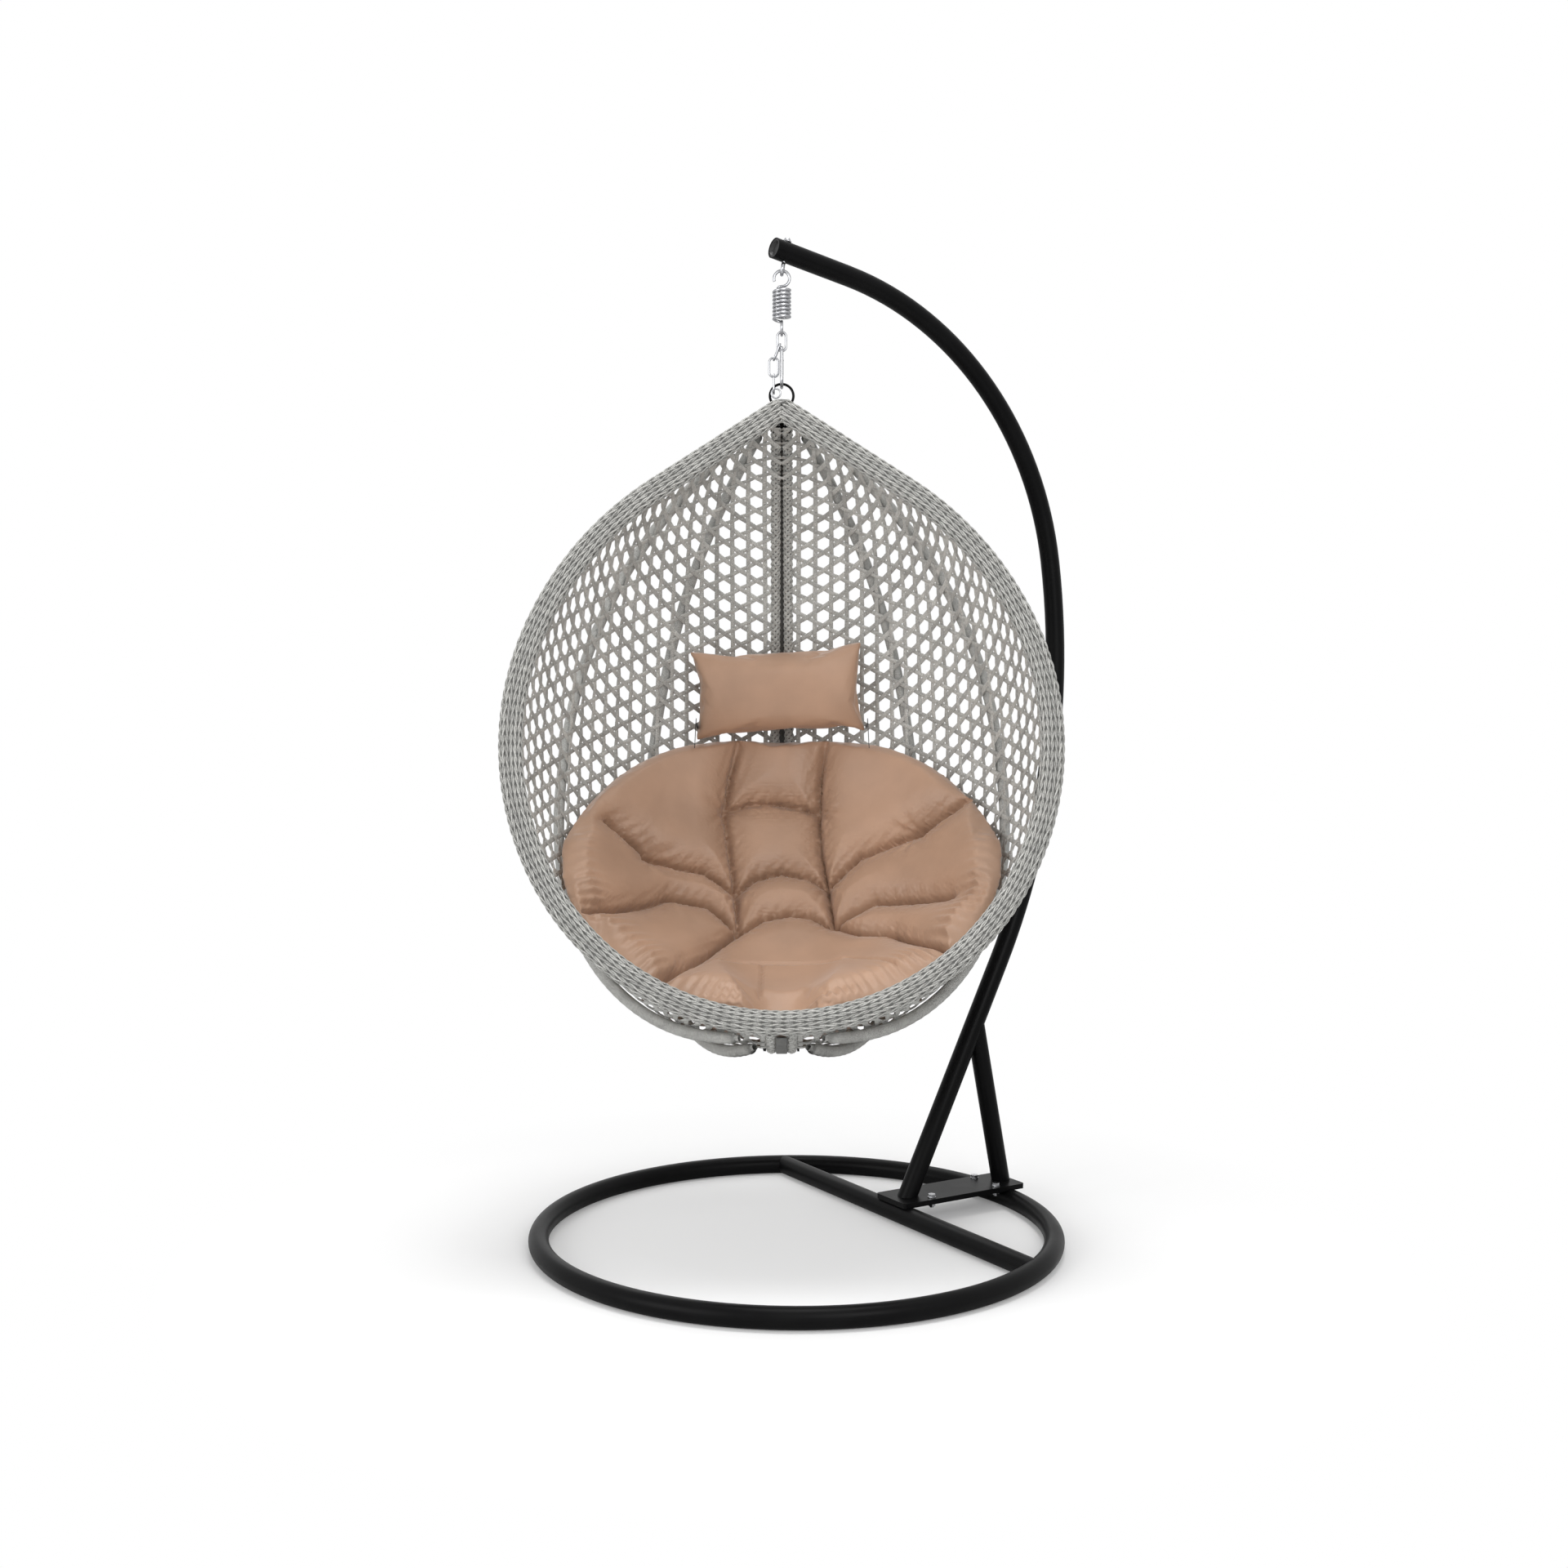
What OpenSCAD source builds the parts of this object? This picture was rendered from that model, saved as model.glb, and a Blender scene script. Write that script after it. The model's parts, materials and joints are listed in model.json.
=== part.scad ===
// Hanging egg chair: a bent tube stand on a round base, a spring and chain suspension, an egg-shaped
// woven basket, a tufted seat cushion and a head pillow. Millimetres, +Z up. The origin is on the floor
// at the middle of the base ring, and the basket opens towards -Y.

/* [Stand tubes] */
// Outside diameter of the ring, cross tube, post and arm
tube_d = 38; // [32:1:44]
// Wall of the stand's tubes
tube_wall = 1.5; // [1:0.1:2.5]
// How much slimmer the brace is than the post
brace_step = 1; // [0.5:0.5:6]

/* [Base] */
// Radius of the base ring, at the middle of its tube
ring_r = 481.3; // [460:1:560]
// Direction of the arm's plane, from +X towards +Y
arm_turn = 31.4; // [0:1:60]
// Distance of the cross tube from the ring's centre
cross_s = 230; // [190:1:250]
// Thickness of each base plate
plate_t = 5; // [4:0.5:8]
// Width of the base plates
plate_w = 98; // [86:1:120]
// Length of the plates past the middle of the ring's tube
plate_tail = 29; // [24:1:40]
// Length of the plates before the middle of the cross tube
plate_nose = 14; // [5:1:30]
// Corner radius of the plates
plate_corner = 6; // [2:1:12]
// Depth by which the ring and cross tube are let into the lower plate
plate_seat = 1; // [0.5:0.5:2]

/* [Post, brace and arm] */
// Distance of the post's foot from the cross tube
post_step = 27; // [20:1:40]
// Slope of the post's straight length
post_slope = 63.4; // [60:0.5:70]
// Length of the post's straight
post_straight = 496; // [420:1:520]
// Radius of the long bend behind the basket
long_bend_r = 1356.5; // [1200:1:1600]
// Turn of the long bend
long_bend = 35.2; // [30:0.5:40]
// Part of the long bend that belongs to the post, below the joint
joint_bend = 16.5; // [14:0.5:20]
// Radius of the bend over the basket
top_bend_r = 614; // [560:1:660]
// Turn of the bend over the basket
top_bend = 70.8; // [66:0.5:74]
// Straight length at the arm's end
tip_straight = 165; // [120:1:200]
// Distance of the brace's foot from the plate's tail end
brace_inset = 22.5; // [20:0.5:40]
// Lean of the brace towards the post
brace_lean = 11.6; // [6:0.5:14]
// Length of the joint sleeve inside the post
sleeve_below = 60; // [40:1:80]
// Length of the joint sleeve inside the arm
sleeve_above = 90; // [80:1:110]
// Play between the sleeve and the tubes, on the radius
sleeve_play = 0.2; // [0.1:0.05:0.4]
// Depth of the end cap inside the arm
cap_depth = 14; // [8:1:20]

/* [Fasteners] */
// Diameter of the four plate bolts
plate_bolt_d = 8; // [6:1:10]
// Distance of the plate bolts from the plate's long edges
plate_bolt_edge = 14; // [12:0.5:20]
// Distance of the front bolts from the cross tube
plate_bolt_front = 60; // [55:1:80]
// Distance of the rear bolts from the middle of the ring's tube
plate_bolt_rear = 33; // [31:1:50]
// Diameter of the two joint bolts
joint_bolt_d = 6; // [5:1:8]
// Play of a bolt in its hole, on the radius
bolt_play = 0.3; // [0.2:0.1:0.6]

/* [Eye bolt] */
// Diameter of the eye bolt's shank
eye_shank_d = 8; // [6:1:10]
// Wire of the eye
eye_wire = 7; // [5:0.5:8]
// Radius of the eye, at the middle of its wire
eye_r = 9.5; // [9:0.5:12]
// Distance of the eye bolt from the arm's end
eye_from_tip = 25; // [22:1:40]
// Distance of the eye's middle below the arm's underside
eye_below = 13.5; // [13:0.5:20]

/* [Spring] */
// Wire of the spring
spring_wire = 5.5; // [4:0.5:6]
// Radius of the coil, at the middle of its wire
coil_r = 15; // [13:0.5:18]
// Height of one curl
coil_pitch = 6.9; // [6.7:0.1:9]
// Whole curls of the coil, before its last three quarters
coil_curls = 7; // [5:1:9]
// Radius of the upper loop
upper_loop_r = 14.25; // [13:0.25:17]
// Radius of the lower loop
lower_loop_r = 12.2; // [11:0.2:15]
// Rise of the wire from the coil to a loop
loop_rise = 5.2; // [4.5:0.1:8]

/* [Links] */
// Gap between links that hang in each other
link_gap = 0.4; // [0.3:0.1:0.8]
// Wire of the top link
top_link_wire = 4.5; // [4:0.5:5]
// Outside length of the top link
top_link_len = 39; // [36:1:46]
// Outside width of the top link
top_link_w = 20; // [19:1:24]
// Rod of the snap hook
hook_rod = 6.4; // [5.6:0.2:7]
// Length of the snap hook between the middles of its end bends
hook_len = 72.2; // [66:0.2:84]
// Radius of the hook's small bend, at the middle of its rod
hook_small_r = 10; // [9:0.5:11]
// Radius of the hook's large bend, at the middle of its rod
hook_large_r = 14; // [13:0.5:16]
// Diameter of the hook's gate
gate_d = 7; // [6:0.5:8]
// Wire of the safety chain
chain_wire = 4; // [3:0.5:4.5]
// Wire of the black ring
apex_ring_wire = 4.8; // [4:0.2:6]
// Radius of the black ring, at the middle of its wire
apex_ring_r = 21.6; // [18:0.2:26]

/* [Basket outline] */
// Lean of the basket's mouth, its bottom forward
mouth_lean = 12; // [8:1:16]
// Distance of the basket's peak below the black ring's middle
peak_drop = 30; // [27:0.5:34]
// Distance of the basket's peak in front of the hanging line
peak_forward = 41; // [36:0.5:44]
// Slope of the rim at the peak
peak_slope = 34; // [28:1:40]
// Straight length of the rim below the peak
rim_straight = 270.5; // [240:1:300]
// Radius of the rim's shoulder
shoulder_r = 584.5; // [520:1:640]
// Turn of the rim's shoulder
shoulder_turn = 32; // [28:1:36]
// Radius of the rim's side
side_r = 524.2; // [480:1:560]
// Turn of the rim's side
side_turn = 52; // [48:1:56]
// Slope of the back at the peak
back_slope = 27; // [22:1:32]
// Radius of the upper back
upper_back_r = 725.3; // [680:1:760]
// Radius of the lower back
lower_back_r = 592.8; // [560:1:620]
// Turn of the lower back, and of the seat's rear bend below it
lower_back_turn = 45; // [43:1:47]
// Radius of the seat's rear bend
seat_bend_r = 330.8; // [310:1:350]
// How square the lower basket's sections are, against an ellipse
section_square = 0.18; // [0:0.01:0.25]

/* [Basket frame and weave] */
// Width of the rope band on the rim
band_w = 44; // [38:1:50]
// Depth of the rope band on the rim
band_depth = 32; // [28:1:36]
// Diameter of the steel rim tube
rim_tube_d = 20; // [16:1:22]
// Wall of the steel rim tube
rim_tube_wall = 2; // [1:0.1:3]
// Diameter of the steel centre tubes
centre_tube_d = 12; // [10:1:14]
// Wall of the steel centre tubes
centre_tube_wall = 1.2; // [1:0.1:2]
// Diameter of a centre tube with its rope
centre_wrap_d = 20; // [18:0.5:20.5]
// Distance of a centre tube from the middle plane, at the peak
centre_x = 10.5; // [10.3:0.1:13]
// Spread of the centre tubes towards the bottom
centre_spread = 0.37; // [0:0.01:0.8]
// Diameter of a wrapped rib
rib_d = 24; // [20:1:27]
// Angle of the outer ribs round the basket, from the rim
outer_rib_angle = 32; // [30:1:36]
// Angle of the inner ribs round the basket, from the rim
inner_rib_angle = 58; // [54:1:62]
// Turn of the outer ribs towards the rim, low down
outer_rib_drift = 8; // [0:1:12]
// Thickness of the weave
weave_t = 8; // [6:0.5:10]
// Gap between the weave and what it is laced to
weave_gap = 0.4; // [0.3:0.1:1]

/* [Cushions] */
// Thickness of the seat cushion
seat_t = 120; // [90:5:150]
// How much thinner the cushion is at its back
seat_thin = 0.45; // [0:0.05:0.5]
// Gap between the seat cushion and the weave
cushion_gap = 10; // [6:1:16]
// Depth of a tuft in the seat cushion
tuft_depth = 34; // [20:1:45]
// Width of a tuft
tuft_w = 62; // [50:1:80]
// Width of the head pillow
pillow_w = 335; // [280:5:360]
// Height of the head pillow
pillow_h = 175; // [150:5:190]
// Thickness of the head pillow
pillow_t = 92; // [70:2:110]
// Height of the head pillow's middle below the basket's peak
pillow_drop = 504; // [480:2:520]

/* [Hidden] */
$fn = 32;

steel_black = [0.07, 0.07, 0.07];
steel_zinc = [0.78, 0.78, 0.8];
plastic_black = [0.03, 0.03, 0.03];
rope_grey = [0.72, 0.71, 0.68];
satin_tan = [0.66, 0.47, 0.34];

// ---- Small vector and path functions ----
function unit(v) = v / norm(v);
function ease(x) = let (k = min(1, max(0, x))) k * k * (3 - 2 * k);
function arc_len(r, turn) = PI * r * abs(turn) / 180;

// A path lies in the XZ plane. Its state is [x, z, heading], and a piece is [length, radius, turn], with
// radius 0 for a straight one and a negative turn for a bend to the right.
function arc(r, turn) = [arc_len(r, turn), r, turn];
function line(length) = [length, 0, 0];
function step(p, piece, s) =
    piece[1] == 0
    ? [p[0] + s * cos(p[2]), p[1] + s * sin(p[2]), p[2]]
    : let (h = p[2] + piece[2] * s / piece[0], k = piece[1] * sign(piece[2]))
        [p[0] + k * (sin(h) - sin(p[2])), p[1] - k * (cos(h) - cos(p[2])), h];
function along(p, pieces, s, i = 0) =
    i == len(pieces) - 1 || s <= pieces[i][0]
    ? step(p, pieces[i], s)
    : along(step(p, pieces[i], pieces[i][0]), pieces, s - pieces[i][0], i + 1);
function path_len(pieces, i = 0) = i == len(pieces) ? 0 : pieces[i][0] + path_len(pieces, i + 1);
function starts(pieces, i = 0, s = 0) =
    i == len(pieces) ? [] : concat([s], starts(pieces, i + 1, s + pieces[i][0]));
// The pieces of a path between distances a and b
function trim(pieces, a, b) =
    let (from = starts(pieces))
    [for (i = [0:len(pieces) - 1])
        let (lo = max(a, from[i]), hi = min(b, from[i] + pieces[i][0]))
        if (hi - lo > 0.001)
            [hi - lo, pieces[i][1], pieces[i][2] * (hi - lo) / pieces[i][0]]];

// Carries a flat profile along a path: straight pieces are extruded and bends are revolved. Each piece laps
// a little into the next one, and every second one is a hair slimmer, by $slim, so that they join cleanly.
lap = 0.6;
module sweep(p, pieces, i = 0) {
    piece = pieces[i];
    h = p[2];
    over = i + 1 < len(pieces) ? lap : 0;
    $slim = i % 2 == 0 ? 0 : 0.2;
    if (piece[1] == 0) {
        translate([p[0], 0, p[1]]) rotate([0, 90 - h, 0]) linear_extrude(piece[0] + over) children();
    } else {
        side = sign(piece[2]);
        more = over / arc_len(piece[1], 1);
        first = side > 0 ? h - 90 : h + 90 + piece[2] - more;
        translate([p[0] - side * piece[1] * sin(h), 0, p[1] + side * piece[1] * cos(h)])
            rotate([90, 0, 0])
            rotate([0, 0, first])
            rotate_extrude(angle = abs(piece[2]) + more, $fn = piece[1] > 100 ? 96 : 40)
            translate([piece[1], 0])
            children();
    }
    if (i + 1 < len(pieces)) {
        sweep(step(p, piece, piece[0]), pieces, i + 1) children();
    }
}

module disc(d) {
    circle(d = d - $slim, $fn = 24);
}

// Turns +Z to the heading of a path at one of its points
module at(p) {
    translate([p[0], 0, p[1]]) rotate([0, 90 - p[2], 0]) children();
}

module pipe(p, pieces, d, wall) {
    difference() {
        sweep(p, pieces) disc(d);
        sweep(p, pieces) disc(d - 2 * wall);
    }
}

// A tube along a list of points, each with the direction that its first corner keeps to
function tube_ring(points, ups, i, r, sides) =
    let (
        last = len(points) - 1,
        t = unit(points[min(i + 1, last)] - points[max(i - 1, 0)]),
        a = unit(cross(cross(t, ups[i]), t)),
        b = cross(t, a))
    [for (j = [0:sides - 1]) points[i] + r * (cos(360 * j / sides) * a + sin(360 * j / sides) * b)];
module tube(points, ups, r, sides) {
    rings = len(points);
    corners = [for (i = [0:rings - 1]) each tube_ring(points, ups, i, r, sides)];
    walls = [for (i = [0:rings - 2], j = [0:sides - 1])
        let (a = i * sides + j, b = i * sides + (j + 1) % sides)
        each [[a, a + sides, b + sides], [a, b + sides, b]]];
    first_end = [for (j = [1:sides - 2]) [0, j, j + 1]];
    k = (rings - 1) * sides;
    last_end = [for (j = [1:sides - 2]) [k, k + j + 1, k + j]];
    polyhedron(corners, concat(first_end, walls, last_end));
}

// A closed skin between two grids of points of the same size: rows of top points and rows of bottom points
module slab(top, bottom) {
    n = len(top);
    m = len(top[0]);
    corners = concat([for (row = top) each row], [for (row = bottom) each row]);
    k = n * m;
    faces = [for (i = [0:n - 2], j = [0:m - 2])
        let (a = i * m + j, b = a + 1, c = a + m, d = c + 1)
        each [[a, b, d], [a, d, c], [k + a, k + d, k + b], [k + a, k + c, k + d]]];
    side_j = [for (i = [0:n - 2])
        let (a = i * m, b = a + m, c = a + m - 1, d = b + m - 1)
        each [[a, b, k + b], [a, k + b, k + a], [c, k + d, d], [c, k + c, k + d]]];
    side_i = [for (j = [0:m - 2])
        let (a = j, b = j + 1, c = (n - 1) * m + j, d = c + 1)
        each [[a, k + b, b], [a, k + a, k + b], [c, d, k + d], [c, k + d, k + c]]];
    polyhedron(corners, concat(faces, side_j, side_i));
}

// ---- Stand ----
tube_r = tube_d / 2;
brace_d = tube_d - brace_step;
sleeve_d = tube_d - 2 * tube_wall - 2 * sleeve_play;
sleeve_wall = 2;
plate_low = tube_d - plate_seat;
plate_mid = plate_low + plate_t;
plate_top = plate_mid + plate_t;
plate_from = cross_s - plate_nose;
plate_to = ring_r + plate_tail;
bolt_spots = [
    for (s = [cross_s + plate_bolt_front, ring_r - plate_bolt_rear], t = [-1, 1])
        [s, t * (plate_w / 2 - plate_bolt_edge)]];

stand_pieces = [
    line(post_straight),
    arc(long_bend_r, long_bend),
    arc(top_bend_r, top_bend),
    line(tip_straight)];
post_foot = [cross_s + post_step, plate_top, post_slope];
joint_at = post_straight + arc_len(long_bend_r, joint_bend);
stand_len = path_len(stand_pieces);
// The post's foot is made longer, then cut off at the plate
foot_extra = tube_d;
foot_start = [
    post_foot[0] - foot_extra * cos(post_slope),
    post_foot[1] - foot_extra * sin(post_slope),
    post_slope];
foot_pieces = concat([line(foot_extra + post_straight)], trim(stand_pieces, post_straight, joint_at));
arm_pieces = trim(stand_pieces, joint_at, stand_len);
joint_state = along(post_foot, stand_pieces, joint_at);
tip_state = along(post_foot, stand_pieces, stand_len);
joint_bolt_spots = [
    along(post_foot, stand_pieces, joint_at + sleeve_above * 0.28),
    along(post_foot, stand_pieces, joint_at + sleeve_above * 0.72)];

module in_arm_plane() {
    rotate([0, 0, arm_turn]) children();
}

module ring_solid(d) {
    translate([0, 0, tube_r])
        rotate_extrude($fn = 96)
        translate([ring_r, 0])
        circle(d = d);
}

module cross_solid(d) {
    translate([cross_s, 0, tube_r])
        rotate([90, 0, 0])
        cylinder(d = d, h = 2 * ring_r, center = true);
}

module post_solid(d) {
    sweep(foot_start, foot_pieces) disc(d);
}

module base_ring() {
    color(steel_black)
        in_arm_plane()
        difference() {
            ring_solid(tube_d);
            ring_solid(tube_d - 2 * tube_wall);
        }
}

// The cross tube ends in fish mouths on the inside of the ring
module cross_tube() {
    color(steel_black)
        in_arm_plane()
        difference() {
            cross_solid(tube_d - 0.2);
            cross_solid(tube_d - 2 * tube_wall);
            ring_solid(tube_d);
            difference() {
                cylinder(r = 2 * ring_r, h = tube_d + 2);
                translate([0, 0, -1]) cylinder(r = ring_r, h = tube_d + 4, $fn = 96);
            }
        }
}

module plate_outline() {
    length = plate_to - plate_from;
    translate([plate_from + plate_corner, -plate_w / 2])
        square([length - 2 * plate_corner, plate_w]);
    translate([plate_from, -plate_w / 2 + plate_corner])
        square([length, plate_w - 2 * plate_corner]);
    for (s = [plate_from + plate_corner, plate_to - plate_corner], t = [-1, 1]) {
        translate([s, t * (plate_w / 2 - plate_corner)]) circle(r = plate_corner);
    }
}

module plate(z) {
    difference() {
        translate([0, 0, z]) linear_extrude(plate_t) plate_outline();
        for (spot = bolt_spots) {
            translate([spot[0], spot[1], z - 1]) cylinder(d = plate_bolt_d + 2 * bolt_play, h = plate_t + 2);
        }
    }
}

module lower_base_plate() {
    color(steel_black)
        in_arm_plane()
        difference() {
            plate(plate_low);
            ring_solid(tube_d);
            cross_solid(tube_d);
        }
}

module upper_base_plate() {
    color(steel_black) in_arm_plane() plate(plate_mid);
}

module main_post() {
    color(steel_black)
        in_arm_plane()
        difference() {
            pipe(foot_start, foot_pieces, tube_d, tube_wall);
            translate([post_foot[0] - 2 * tube_d, -tube_d, plate_top - 2 * tube_d])
                cube([4 * tube_d, 2 * tube_d, 2 * tube_d]);
        }
}

// Where the brace's axis meets the post's: the brace is cut to the post's outside there
brace_foot_s = plate_to - brace_inset;
brace_len = (brace_foot_s - post_foot[0]) * sin(post_slope) / sin(90 + brace_lean - post_slope);

module brace_tube() {
    color(steel_black)
        in_arm_plane()
        difference() {
            translate([brace_foot_s, 0, plate_top])
                rotate([0, -brace_lean, 0])
                translate([0, 0, -tube_d])
                difference() {
                    cylinder(d = brace_d, h = tube_d + brace_len);
                    cylinder(d = brace_d - 2 * tube_wall, h = tube_d + brace_len);
                }
            post_solid(tube_d);
            translate([brace_foot_s - 2 * tube_d, -tube_d, plate_top - 2 * tube_d])
                cube([4 * tube_d, 2 * tube_d, 2 * tube_d]);
        }
}

module joint_holes() {
    for (spot = joint_bolt_spots) {
        at(spot) rotate([90, 0, 0]) cylinder(d = joint_bolt_d + 2 * bolt_play, h = 2 * tube_d, center = true);
    }
}

module joint_sleeve() {
    color(steel_black)
        in_arm_plane()
        difference() {
            pipe(
                along(post_foot, stand_pieces, joint_at - sleeve_below),
                trim(stand_pieces, joint_at - sleeve_below, joint_at + sleeve_above),
                sleeve_d,
                sleeve_wall);
            joint_holes();
        }
}

module joint_bolts() {
    head_h = 0.65 * joint_bolt_d;
    color(steel_zinc)
        in_arm_plane()
        for (spot = joint_bolt_spots) {
            at(spot) rotate([90, 0, 0]) {
                translate([0, 0, tube_r]) cylinder(d = 1.9 * joint_bolt_d, h = head_h, $fn = 6);
                translate([0, 0, -tube_r - 1.4 * joint_bolt_d])
                    cylinder(d = joint_bolt_d, h = tube_d + 1.4 * joint_bolt_d);
            }
        }
}

module joint_nuts() {
    nut_h = 0.9 * joint_bolt_d;
    color(steel_zinc)
        in_arm_plane()
        for (spot = joint_bolt_spots) {
            at(spot) rotate([90, 0, 0]) translate([0, 0, -tube_r - nut_h]) difference() {
                cylinder(d = 1.9 * joint_bolt_d, h = nut_h, $fn = 6);
                translate([0, 0, -1]) cylinder(d = joint_bolt_d, h = nut_h + 2);
            }
        }
}

module upper_arm() {
    color(steel_black)
        in_arm_plane()
        difference() {
            pipe(joint_state, arm_pieces, tube_d, tube_wall);
            joint_holes();
            in_eye_frame() cylinder(d = eye_shank_d + 2 * bolt_play, h = 2 * tube_d, center = true);
        }
}

// A plug with a dished face, a little way inside the arm's end
module arm_end_cap() {
    face_inset = 1;
    plug_r = tube_r - tube_wall;
    color(plastic_black)
        in_arm_plane()
        at(tip_state)
        translate([0, 0, -cap_depth])
        difference() {
            cylinder(r = plug_r, h = cap_depth - face_inset);
            translate([0, 0, cap_depth - 6]) cylinder(r1 = plug_r - 6, r2 = plug_r - 2.5, h = 6);
            translate([0, 0, -1]) cylinder(r = plug_r - 2, h = cap_depth - 7);
        }
}

// ---- Base fasteners ----
washer_t = 1.6;
bolt_head_h = 0.65 * plate_bolt_d;
plate_nut_h = 0.8 * plate_bolt_d;
hex_d = 1.87 * plate_bolt_d;

module at_plate_bolts(z) {
    in_arm_plane()
        for (spot = bolt_spots) {
            translate([spot[0], spot[1], z]) children();
        }
}

module plate_bolts() {
    shank = 2 * plate_t + washer_t + plate_nut_h + 3;
    color(steel_zinc) at_plate_bolts(plate_top + washer_t) {
        cylinder(d = hex_d, h = bolt_head_h, $fn = 6);
        translate([0, 0, -shank]) cylinder(d = plate_bolt_d, h = shank);
    }
}

module plate_washers() {
    color(steel_zinc) at_plate_bolts(plate_top) difference() {
        cylinder(d = 2 * plate_bolt_d, h = washer_t);
        translate([0, 0, -1]) cylinder(d = plate_bolt_d + 2 * bolt_play, h = washer_t + 2);
    }
}

module plate_nuts() {
    color(steel_zinc) at_plate_bolts(plate_low - plate_nut_h) difference() {
        cylinder(d = hex_d, h = plate_nut_h, $fn = 6);
        translate([0, 0, -1]) cylinder(d = plate_bolt_d, h = plate_nut_h + 2);
    }
}

// ---- Eye bolt ----
eye_state = along(post_foot, stand_pieces, stand_len - eye_from_tip);
eye_tilt = 180 - tip_state[2];
eye_drop = tube_r + eye_below;
// In the arm's plane frame: the eye's middle, the normal of the eye and the lowest point of its wire
eye_mid = [eye_state[0] - eye_drop * sin(eye_tilt), 0, eye_state[1] - eye_drop * cos(eye_tilt)];
eye_normal = [cos(arm_turn) * cos(eye_tilt), -sin(arm_turn), -cos(arm_turn) * sin(eye_tilt)];
eye_down = unit([0, 0, -1] + eye_normal[2] * eye_normal);
eye_low = eye_mid + eye_r * eye_down;
eye_washer_d = 2.1 * eye_shank_d;
eye_nut_h = 0.6 * eye_shank_d;

module in_eye_frame() {
    translate([eye_state[0], 0, eye_state[1]]) rotate([0, eye_tilt, 0]) children();
}

module eye_bolt() {
    color(steel_zinc) in_arm_plane() in_eye_frame() {
        translate([0, 0, -eye_drop]) rotate([0, 0, -arm_turn]) rotate([0, 90, 0])
            rotate_extrude() translate([eye_r, 0]) circle(d = eye_wire);
        translate([0, 0, eye_r - eye_drop])
            cylinder(d = eye_shank_d, h = eye_drop - eye_r + tube_r + washer_t + eye_nut_h);
    }
}

module eye_bolt_washer() {
    color(steel_zinc) in_arm_plane() in_eye_frame() translate([0, 0, tube_r]) difference() {
        cylinder(d = eye_washer_d, h = washer_t);
        translate([0, 0, -1]) cylinder(d = eye_shank_d, h = washer_t + 2);
    }
}

// A low domed nut
module eye_bolt_nut() {
    cap_h = eye_nut_h + 2.5;
    ball_r = (cap_h * cap_h + pow(0.85 * eye_shank_d, 2)) / (2 * cap_h);
    color(steel_zinc) in_arm_plane() in_eye_frame() translate([0, 0, tube_r + washer_t]) difference() {
        intersection() {
            translate([0, 0, cap_h - ball_r]) sphere(r = ball_r);
            cylinder(r = eye_shank_d, h = cap_h);
        }
        translate([0, 0, -1]) cylinder(d = eye_shank_d, h = eye_nut_h + 1);
    }
}

// ---- Suspension: everything hangs on one vertical line through the eye's lowest point ----
hang = [
    eye_low[0] * cos(arm_turn) - eye_low[1] * sin(arm_turn),
    eye_low[0] * sin(arm_turn) + eye_low[1] * cos(arm_turn)];
module on_hang_line(z) {
    translate([hang[0], hang[1], z]) children();
}
upper_loop_top = eye_low[2] + eye_wire / 2 + spring_wire / 2 + link_gap;
upper_loop_mid = upper_loop_top - upper_loop_r;
upper_loop_foot = upper_loop_mid - upper_loop_r;
coil_top = upper_loop_foot - loop_rise;
coil_turns = coil_curls + 0.75;
coil_foot = coil_top - coil_turns * coil_pitch;
lower_loop_head = coil_foot - loop_rise;
lower_loop_mid = lower_loop_head - lower_loop_r;
lower_loop_low = lower_loop_mid - lower_loop_r;
loop_sweep = 290;

// The wire comes in from the coil at the loop's foot and ends short of closing it
module spring_upper_loop() {
    color(steel_zinc)
        on_hang_line(upper_loop_mid)
        rotate([90, 0, 0])
        rotate([0, 0, -90])
        rotate_extrude(angle = loop_sweep)
        translate([upper_loop_r, 0])
        circle(d = spring_wire);
}

module spring_lower_loop() {
    color(steel_zinc)
        on_hang_line(lower_loop_mid)
        rotate([0, 0, 90])
        rotate([90, 0, 0])
        rotate([0, 0, 90])
        rotate_extrude(angle = loop_sweep)
        translate([lower_loop_r, 0])
        circle(d = spring_wire);
}

// One wire: a half circle out from the lower loop, the curls, and a half circle in to the upper loop
curl_rings = 8;
lead_rings = 5;
coil_first = 180;
coil_last = coil_first + 360 * coil_turns;
// Each lead ends a little short of the middle line, where the loop's wire starts
lead_cut = 0.05;
function half_circle(angle, inward, share) =
    let (a = angle + (inward ? 0 : 180) + 180 * share)
    coil_r / 2 * [cos(angle) + cos(a), sin(angle) + sin(a)];
coil_points = concat(
    [for (i = [0:lead_rings - 1])
        let (share = lead_cut + (1 - lead_cut) * i / lead_rings, p = half_circle(coil_first, false, share))
        [p[0], p[1], lower_loop_head + loop_rise * ease(share)]],
    [for (i = [0:coil_turns * curl_rings])
        let (a = coil_first + 360 * i / curl_rings)
        [coil_r * cos(a), coil_r * sin(a), coil_foot + coil_pitch * i / curl_rings]],
    [for (i = [1:lead_rings])
        let (share = (1 - lead_cut) * i / lead_rings, p = half_circle(coil_last, true, share))
        [p[0], p[1], coil_top + loop_rise * ease(share)]]);
coil_gap = min([
    for (i = [0:len(coil_points) - 1], j = [i + curl_rings / 2:1:len(coil_points) - 1])
        norm(coil_points[i] - coil_points[j])]) - spring_wire;
echo(least_gap_of_the_coil = coil_gap);  // spring_coil

module spring_coil() {
    color(steel_zinc)
        on_hang_line(0)
        tube(coil_points, [for (p = coil_points) [0, 0, 1]], spring_wire / 2, 6);
}

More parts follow.
